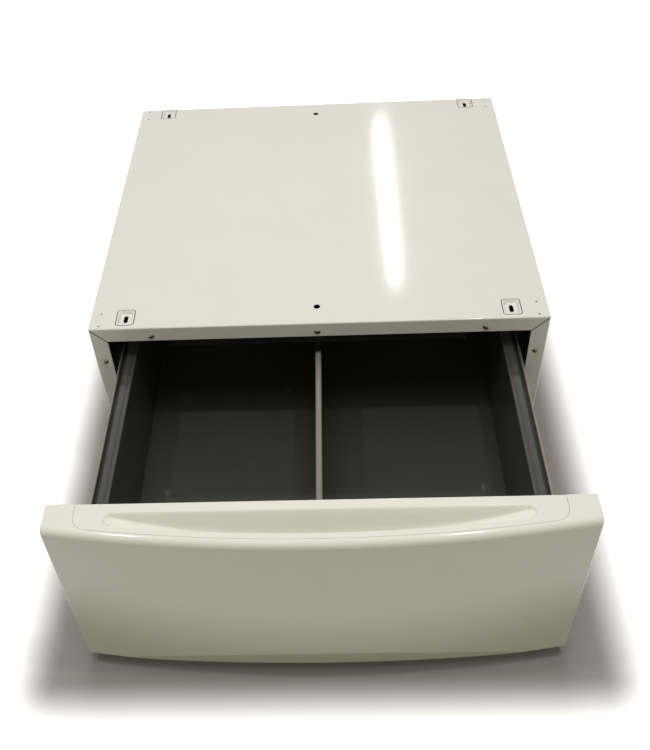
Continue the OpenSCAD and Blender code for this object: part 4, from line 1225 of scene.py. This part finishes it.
@dataclass
class DrawerBox:
    """Charcoal sheet-metal box with rolled edges, a divider and a stiffening brace.

    Attributes:
        edge: Radius that the enamel gives a cut edge.
        hem_wide: Width of the bare hem along the outside of each side.
        hem_tall: Height of that hem.
        hem_proud: How far it stands over the side's own lip.
        hem_round: Radius of its upper edges, as a share of its width.
        gutter_in: Where the gutter's floor lies, in from the outer wall.
        gutter_down: Where it lies, down from the top.
        gutter_deeper: How much deeper the pressed gutter is than its folded start.
        trim_wall: Wall of the edging on the divider.
        trim_tall: Height of the edging.
        trim_round: Radius of its upper edges, as a share of half the divider's thickness.
        trim_clear: Clear space at its ends.
    """

    edge: float = 0.3 * MM
    hem_wide: float = 3.1 * MM
    hem_tall: float = 2.2 * MM
    hem_proud: float = 0.15 * MM
    hem_round: float = 0.4
    gutter_in: tuple[float, float] = (1.5 * MM, 11.2 * MM)
    gutter_down: tuple[float, float] = (3.2 * MM, 6 * MM)
    gutter_deeper: float = 9 * MM
    trim_wall: float = 0.35 * MM
    trim_tall: float = 5 * MM
    trim_round: float = 0.7
    trim_clear: float = 3 * MM

    def build(self) -> None:
        """Makes the walls, bottom and divider."""
        for node in ("drawer_inner_front", "drawer_back", "drawer_bottom", "drawer_divider"):
            refined(node, CHARCOAL_ENAMEL, self.edge)
        for node in ("drawer_bottom_brace", "front_backing_plate"):
            refined(node, GALVANISED, self.edge)
        refined("divider_clip", ZINC, self.edge)
        for side, node in ((-1, "left_drawer_side"), (1, "right_drawer_side")):
            self.side(side, node)
            self.hem(side, node)
        self.divider_trim()

    def hem(self, side: int, node: str) -> None:
        """Makes the bare steel hem along the top of one side's outer wall.

        Args:
            side: -1 for the left, 1 for the right.
            node: Name of the side's CAD node.
        """
        low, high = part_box(node)
        outer = high.x if side > 0 else -low.x
        inner_x, outer_x = sorted((side * (outer - self.hem_wide), side * outer))
        top = high.z + self.hem_proud
        hem = Workpiece.block(
            f"{node}_hem",
            Vector((inner_x, low.y + self.hem_wide, top - self.hem_tall)),
            Vector((outer_x, high.y - self.hem_wide, top)),
        )
        hem_radius = self.hem_wide * self.hem_round
        hem.bevel(lambda e: lengthwise(e) and middle(e).z > top - self.edge, hem_radius, 6)
        hem.smooth()
        hem.dress(PASSIVATED, "drawer")

    def side(self, side: int, node: str) -> None:
        """Makes one side, with the gutter along its top pressed in deep.

        Args:
            side: -1 for the left, 1 for the right.
            node: Name of the side's CAD node.
        """
        low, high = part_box(node)
        outer = high.x if side > 0 else -low.x
        gutter_x, gutter_z = self.gutter_in, self.gutter_down
        piece = Workpiece.from_node(f"folded_{node}", bpy.data.objects[node])

        def on_gutter(vert: bmesh.types.BMVert) -> bool:
            """True for a vertex of the gutter's floor, above or below the sheet."""
            inset, down = outer - side * vert.co.x, high.z - vert.co.z
            return gutter_x[0] < inset < gutter_x[1] and gutter_z[0] < down < gutter_z[1]

        with piece.picked(Part.VERT, on_gutter) as count:
            LOG.info("%s: %d vertices of the gutter pressed down", node, count)
            bpy.ops.transform.translate(value=(0, 0, -self.gutter_deeper))
        piece.soften(self.edge)
        piece.smooth()
        piece.dress(CHARCOAL_ENAMEL, "drawer", node)

    def divider_trim(self) -> None:
        """Makes the vinyl edging pushed onto the top of the divider."""
        low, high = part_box("drawer_divider")
        clip_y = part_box("divider_clip")[0].y
        trim = Workpiece.block(
            "divider_edge_trim",
            Vector((low.x - self.trim_wall, low.y + self.trim_clear, high.z - self.trim_tall)),
            Vector((high.x + self.trim_wall, clip_y - self.trim_clear, high.z + self.trim_wall)),
        )
        trim.bevel(lambda e: lengthwise(e) and middle(e).z > high.z, high.x * self.trim_round, 8)
        trim.smooth()
        trim.dress(GREY_VINYL, "drawer")


@dataclass
class Slides:
    """Ball slides on both sides: rails and pressed cages. The balls stay as packed.

    Attributes:
        edge: Radius of the rolled members' edges.
        cage_edge: Radius of the cages' edges.
    """

    edge: float = 0.25 * MM
    cage_edge: float = 0.12 * MM

    def build(self) -> None:
        """Makes the rails and cages of both slides."""
        for side in ("left", "right"):
            for member in ("cabinet_rail", "middle_rail", "drawer_rail"):
                refined(f"{side}_{member}", SLIDE_STEEL, self.edge)
            for cage in ("outer_cage", "inner_cage"):
                refined(f"{side}_{cage}", CAGE_STEEL, self.cage_edge)


@dataclass
class Fittings:
    """Screws, rivets, nuts, blocks and bumpers.

    Attributes:
        screw_edge: Radius of the screws' edges.
        block_edge: Radius of the blocks' and nuts' edges.
        bumper_edge: Radius of the bumpers' edges.
        head_share: Size of the flange screws' heads, as a share of their plain CAD ones.
        head_reach: Distance that is longer than a head is wide, and shorter than two lie apart.
        head_out: How far before the flanges a point lies that is sure to be a head's.
    """

    screw_edge: float = 0.18 * MM
    block_edge: float = 0.5 * MM
    bumper_edge: float = 0.9 * MM
    head_share: float = 1.25
    head_reach: float = 14 * MM
    head_out: float = 1 * MM

    def build(self) -> None:
        """Makes every group of fasteners and the bumpers."""
        self.flange_screws()
        for node in ("back_panel_screws", "carrier_screws", "front_screws", "drawer_rail_screws",
                     "divider_screws", "box_rivets"):
            refined(node, ZINC, self.screw_edge)
        for node in ("foot_blocks", "foot_lock_nuts"):
            refined(node, ZINC, self.block_edge, 3)
        refined("front_bumpers", RUBBER, self.bumper_edge, 4)

    def flange_screws(self) -> None:
        """Makes the screws of the front flanges, with the full domes of their pan heads."""
        piece = Workpiece.from_node("domed_flange_screws", bpy.data.objects["flange_screws"])
        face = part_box("top_panel")[0].y
        out = [vert.co for vert in piece.obj.data.vertices if vert.co.y < face - self.head_out]
        heads: list[Vector] = []
        for spot in out:
            if all((spot - head).length > self.head_reach for head in heads):
                near = [other for other in out if (other - spot).length < self.head_reach]
                heads.append(sum(near, Vector()) / len(near))

        def domed(spot: Vector) -> Vector:
            """Widens and raises a point of a head.

            Args:
                spot: Point of a screw.

            Returns:
                Its new place, which is the old one behind the flange's face.
            """
            if spot.y > face + HAIR:
                return spot
            head = min(heads, key=lambda other: (other - spot).length)
            foot = Vector((head.x, face, head.z))
            return foot + (spot - foot) * self.head_share

        piece.shape(domed)
        piece.soften(self.screw_edge)
        piece.smooth()
        piece.dress(ZINC, "cabinet", "flange_screws")


@dataclass
class LevellingFoot:
    """Threaded stud on a round rubber pad, modelled once and copied to the four corners.

    Attributes:
        stud_radius: Outer radius of the thread.
        thread_depth: Depth of the thread.
        pitch: Pitch of the thread.
        sides: Steps round the thread.
        steps: Steps along one pitch.
        thread_blend: Angle between faces up to which the stud is shaded as one, in degrees.
        collar_flats: Width across the flats of the collar.
        collar_height: Height of the collar.
        collar_edge: Radius of the collar's edges.
        tip_chamfer: Chamfer of the stud's tip.
        pad_radius: Radius of the pad.
        pad_height: Height of the pad.
        ribs: Grip ribs round the pad.
        rib_depth: Depth of the grooves between them.
        pad_sides: Steps round the pad.
    """

    stud_radius: float = 5 * MM
    thread_depth: float = 0.8 * MM
    pitch: float = 1.5 * MM
    sides: int = 24
    steps: int = 6
    thread_blend: float = 35
    collar_flats: float = 14 * MM
    collar_height: float = 4 * MM
    collar_edge: float = 0.6 * MM
    tip_chamfer: float = 1 * MM
    pad_radius: float = 20 * MM
    pad_height: float = 8 * MM
    ribs: int = 3
    rib_depth: float = 0.4 * MM
    pad_sides: int = 72

    def build(self) -> None:
        """Makes the four feet from one stud and one pad."""
        stud = self.stud()
        pad = self.pad()
        for corner in ("front_left", "front_right", "rear_left", "rear_right"):
            body = f"{corner}_levelling_foot"
            low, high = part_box(f"{corner}_foot")
            place = Vector(((low.x + high.x) / 2, (low.y + high.y) / 2, 0))
            stud.copied(f"threaded_{corner}_stud", place).dress(ZINC, body, f"{corner}_stud")
            pad.copied(f"ribbed_{corner}_pad", place).dress(RUBBER, body, f"{corner}_foot")
        for pattern in (stud, pad):
            bpy.data.objects.remove(pattern.obj)

    def stud(self) -> Workpiece:
        """Winds a helical thread and welds a hexagonal collar to it, standing on the origin.

        Returns:
            The stud.
        """
        low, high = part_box("front_left_stud")
        base, top = low.z, high.z
        rings = round((top - base) / self.pitch * self.steps)
        deselect()
        bpy.ops.mesh.primitive_grid_add(x_subdivisions=self.sides, y_subdivisions=rings, size=2)
        stud = Workpiece.added("stud")

        def wound(spot: Vector) -> Vector:
            """Wraps the grid round the axis, with the thread cut into it and a chamfer at its tip.

            Args:
                spot: Point of a flat grid from -1 to 1, round and up the stud.

            Returns:
                The point on the stud.
            """
            turn = spot.x * math.pi
            z = base + (top - base) * (spot.y + 1) / 2
            phase = (z / self.pitch - turn / (2 * math.pi)) % 1
            radius = self.stud_radius - self.thread_depth * abs(2 * phase - 1)
            radius = min(radius, self.stud_radius - self.tip_chamfer + (top - z))
            return Vector((radius * math.cos(turn), radius * math.sin(turn), z))

        stud.shape(wound)
        stud.merge()
        stud.close()
        foot = Vector((0, 0, self.pad_height))
        across_corners = self.collar_flats / math.sqrt(3)
        collar = Workpiece.rod("collar", foot, across_corners, self.collar_height, 6)
        collar.bevel(lambda e: not upright(e), self.collar_edge, 3)
        stud.combine(collar, Meeting.WELD)
        stud.smooth(self.thread_blend)
        return stud

    def pad(self) -> Workpiece:
        """Turns a round pad with grip ribs and a raised hub, standing on the origin.

        Returns:
            The pad.
        """
        wide, tall, hub = self.pad_radius, self.pad_height, self.stud_radius * 2
        wall_low, wall_high = 1.5 * MM, tall / 2
        pitch = (wall_high - wall_low) / self.ribs
        groove = wide - self.rib_depth
        # Height and radius of each ring: the rounded sole, the ribbed wall, then the hub.
        outline = [(0, wide - 1.8 * MM), (0.4 * MM, wide - 0.8 * MM), (wall_low, wide)]
        for rib in range(self.ribs):
            z = wall_low + rib * pitch
            outline += [(z + pitch * 0.35, groove), (z + pitch * 0.65, groove), (z + pitch, wide)]
        outline += [(wall_high + 0.5 * MM, wide - 1 * MM), (tall - 0.6 * MM, hub + 2 * MM)]
        outline += [(tall, hub), (tall, self.stud_radius)]
        pad = Workpiece.turned("pad", self.pad_sides, outline)
        pad.close()
        pad.smooth()
        return pad


# ---- studio ----


@dataclass
class Lamp:
    """One soft lamp of the studio.

    Attributes:
        name: Name of the lamp.
        place: Place of its middle.
        target: Point that it faces.
        size: Width and length of its panel.
        radiance: Brightness of its panel, where 1 is white.
        colour: Colour of its light.
        mirrored: Whether glossy surfaces show it.
    """

    name: str
    place: tuple[float, float, float]
    target: tuple[float, float, float]
    size: tuple[float, float]
    radiance: float
    colour: str = "#FFFEFA"
    mirrored: bool = True

    def build(self) -> None:
        """Adds the lamp to the scene, with the power that gives its panel its brightness."""
        data = bpy.data.lights.new(self.name, "AREA")
        data.shape = "RECTANGLE"
        data.size, data.size_y = self.size
        data.energy = self.radiance * WHITE_PANEL * self.size[0] * self.size[1]
        data.color = linear(self.colour)[:3]
        lamp = bpy.data.objects.new(self.name, data)
        lamp.location = self.place
        aim = Vector(self.target) - Vector(self.place)
        lamp.rotation_euler = aim.to_track_quat("-Z", "Y").to_euler()
        lamp.visible_glossy = self.mirrored
        bpy.context.scene.collection.objects.link(lamp)


@dataclass
class Studio:
    """Pale floor, even light and the camera at the photograph's place.

    Attributes:
        camera_place: Place of the camera.
        camera_turn: Turn of the camera about X, Y and Z, in degrees.
        lens: Focal length over a 36 mm sensor's long side.
        shift: Shift of the lens, as shares of the long side.
        lamps: The lamps.
        painted_shadow_reach: How far the soft painted shadow, a darker floor colour without the glow,
            reaches out from the object's footprint.
        side_clear: How much further out it starts at the sides, where the object hides the nearest
            floor.
        painted_shadow_floor: Colour of the floor close to the object, darker to paint the object's shadow
            there.
        bounce: Colour of the light that the floor gives back.
        white: Colour of the floor and the room where they are seen.
        even: Colour of the even light from all round.
        fill: Brightness of the even light.
        glow: Brightness that makes up for the lamps' falling off towards the edges of the floor; it fades
            out close to the object, which helps paint the shadow there.
        floor_radius: Radius of the floor.
    """

    camera_place: tuple[float, float, float] = (0.0258, -1.1571, 1.2364)
    camera_turn: tuple[float, float, float] = (44.297, 2.749, 0.673)
    lens: float = 44.35
    shift: tuple[float, float] = (0.0376, 0.0232)
    lamps: tuple[Lamp, ...] = (
        Lamp("overhead_panel", (-0.05, 0.25, 2.6), (-0.05, 0.25, 0), (1.1, 3.0), 2.8, mirrored=False),
        Lamp("front_panel", (0, -2.6, 1.3), (0, -0.3, 0.2), (2.0, 1.2), 0.82, "#FBF4D8", False),
        Lamp("left_spot", (-0.95, -0.5, 2.6), (0, -0.2, 0.2), (0.1, 0.1), 170),
        Lamp("right_spot", (0.6, -0.5, 2.6), (0, -0.2, 0.2), (0.1, 0.1), 170),
        Lamp("overhead_tube", (0.362, 3.59, 2.6), (0.362, 3.59, 0), (0.03, 1.65), 34),
    )
    painted_shadow_reach: float = 0.11
    side_clear: float = 0.045
    painted_shadow_floor: str = "#A19F9B"
    bounce: str = "#807E62"
    white: str = "#FFFFFF"
    even: str = "#FFFDF8"
    fill: float = 0.2
    glow: float = 0.85
    floor_radius: float = 12

    def build(self) -> None:
        """Sets up the camera, floor, world and lamps."""
        bpy.context.scene.view_settings.view_transform = "Standard"
        self.camera()
        self.floor()
        self.world()
        for lamp in self.lamps:
            lamp.build()

    def camera(self) -> None:
        """Adds the camera."""
        data = bpy.data.cameras.new("camera")
        data.lens = self.lens
        data.shift_x, data.shift_y = self.shift
        eye = bpy.data.objects.new("camera", data)
        eye.location = self.camera_place
        eye.rotation_euler = [math.radians(angle) for angle in self.camera_turn]
        bpy.context.scene.collection.objects.link(eye)
        bpy.context.scene.camera = eye

    def shown(self, tree: Tree) -> Socket:
        """Tells rays that look at a surface from rays that only take light from it.

        Args:
            tree: Node tree of the floor's material or of the world.

        Returns:
            1 where it is seen, mirrored or looked at through glass, otherwise 0.
        """
        ray = add_node(tree, "ShaderNodeLightPath").outputs
        seen = ray["Is Camera Ray"]
        for other in ("Is Glossy Ray", "Is Transmission Ray"):
            both = {0: seen, 1: ray[other]}
            seen = add_node(tree, "ShaderNodeMath", both, operation="MAXIMUM").outputs[0]
        return seen

    def floor(self) -> None:
        """Adds the floor: white where it is seen, with the lamps' shadow and a painted shadow close to the
        object, greyer in the light it gives.
        """
        deselect()
        bpy.ops.mesh.primitive_circle_add(
            vertices=96, radius=self.floor_radius, fill_type="NGON", location=(0, 0, 0)
        )
        floor = Workpiece.added("floor")
        floor.obj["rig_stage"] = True
        made = bpy.data.materials.new("Pale studio floor")
        tree = cleared(made)
        beyond = self.beyond_painted_shadow(tree)
        # near is the painted shadow: a darker floor colour close to the object, where the glow is left out.
        near, white, grey = (
            add_node(tree, "ShaderNodeBsdfDiffuse", {"Color": linear(colour)}).outputs[0]
            for colour in (self.painted_shadow_floor, self.white, self.bounce)
        )
        glow = add_node(tree, "ShaderNodeEmission", {"Strength": self.glow}).outputs[0]
        far = add_node(tree, "ShaderNodeAddShader", {0: white, 1: glow}).outputs[0]
        lit = add_node(tree, "ShaderNodeMixShader", {0: beyond, 1: near, 2: far}).outputs[0]
        mix = add_node(tree, "ShaderNodeMixShader", {0: self.shown(tree), 1: grey, 2: lit})
        add_node(tree, "ShaderNodeOutputMaterial", {"Surface": mix.outputs[0]})
        floor.obj.data.materials.append(made)

    def beyond_painted_shadow(self, tree: Tree) -> Socket:
        """Fades the painted shadow out round the box that the object stands in.

        Args:
            tree: Node tree of the floor's material.

        Returns:
            0 beside the object's footprint, rising to 1 beyond the painted shadow.
        """
        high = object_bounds()[1]
        corner = (high.x + self.side_clear, high.y, 0)
        spot = add_node(tree, "ShaderNodeTexCoord").outputs["Object"]
        steps = (("ABSOLUTE", {}), ("SUBTRACT", {1: corner}), ("MAXIMUM", {1: (0, 0, 0)}))
        for operation, other in steps:
            both = {0: spot, **other}
            spot = add_node(tree, "ShaderNodeVectorMath", both, operation=operation).outputs[0]
        distance = add_node(tree, "ShaderNodeVectorMath", {0: spot}, operation="LENGTH").outputs["Value"]
        fade = {
            "Value": distance, "From Min": 0.0, "From Max": self.painted_shadow_reach, "To Min": 0.0, "To Max": 1.0
        }
        return add_node(tree, "ShaderNodeMapRange", fade, interpolation_type="SMOOTHSTEP").outputs["Result"]

    def world(self) -> None:
        """Lights the studio evenly: white where it is seen or mirrored."""
        world = bpy.data.worlds.new("studio")
        bpy.context.scene.world = world
        tree = cleared(world)
        white, fill = (
            add_node(tree, "ShaderNodeBackground", {"Color": linear(colour), "Strength": level}).outputs[0]
            for colour, level in ((self.white, 1.0), (self.even, self.fill))
        )
        mix = add_node(tree, "ShaderNodeMixShader", {0: self.shown(tree), 1: fill, 2: white})
        add_node(tree, "ShaderNodeOutputWorld", {"Surface": mix.outputs[0]})


def dress_nodes(frame: dict[str, Any]) -> None:
    """Gives every CAD node the material of its slot.
    """
    by_slot = {finish.slot: finish for finish in FINISHES}
    for row in frame["record"]["subparts"]:
        node = frame["nodes"][row["node"]]
        node.data.materials.clear()
        node.data.materials.append(by_slot[row["material_slot"]].material())


def main() -> None:
    """Builds the pieces in order."""
    logging.basicConfig(level=logging.INFO, format="%(name)s: %(message)s")
    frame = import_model()
    dress_nodes(frame)
    DrawerFront().build()
    Cabinet().build()
    DrawerBox().build()
    Slides().build()
    Fittings().build()
    LevellingFoot().build()
    Studio().build()


if __name__ == "__main__":
    main()
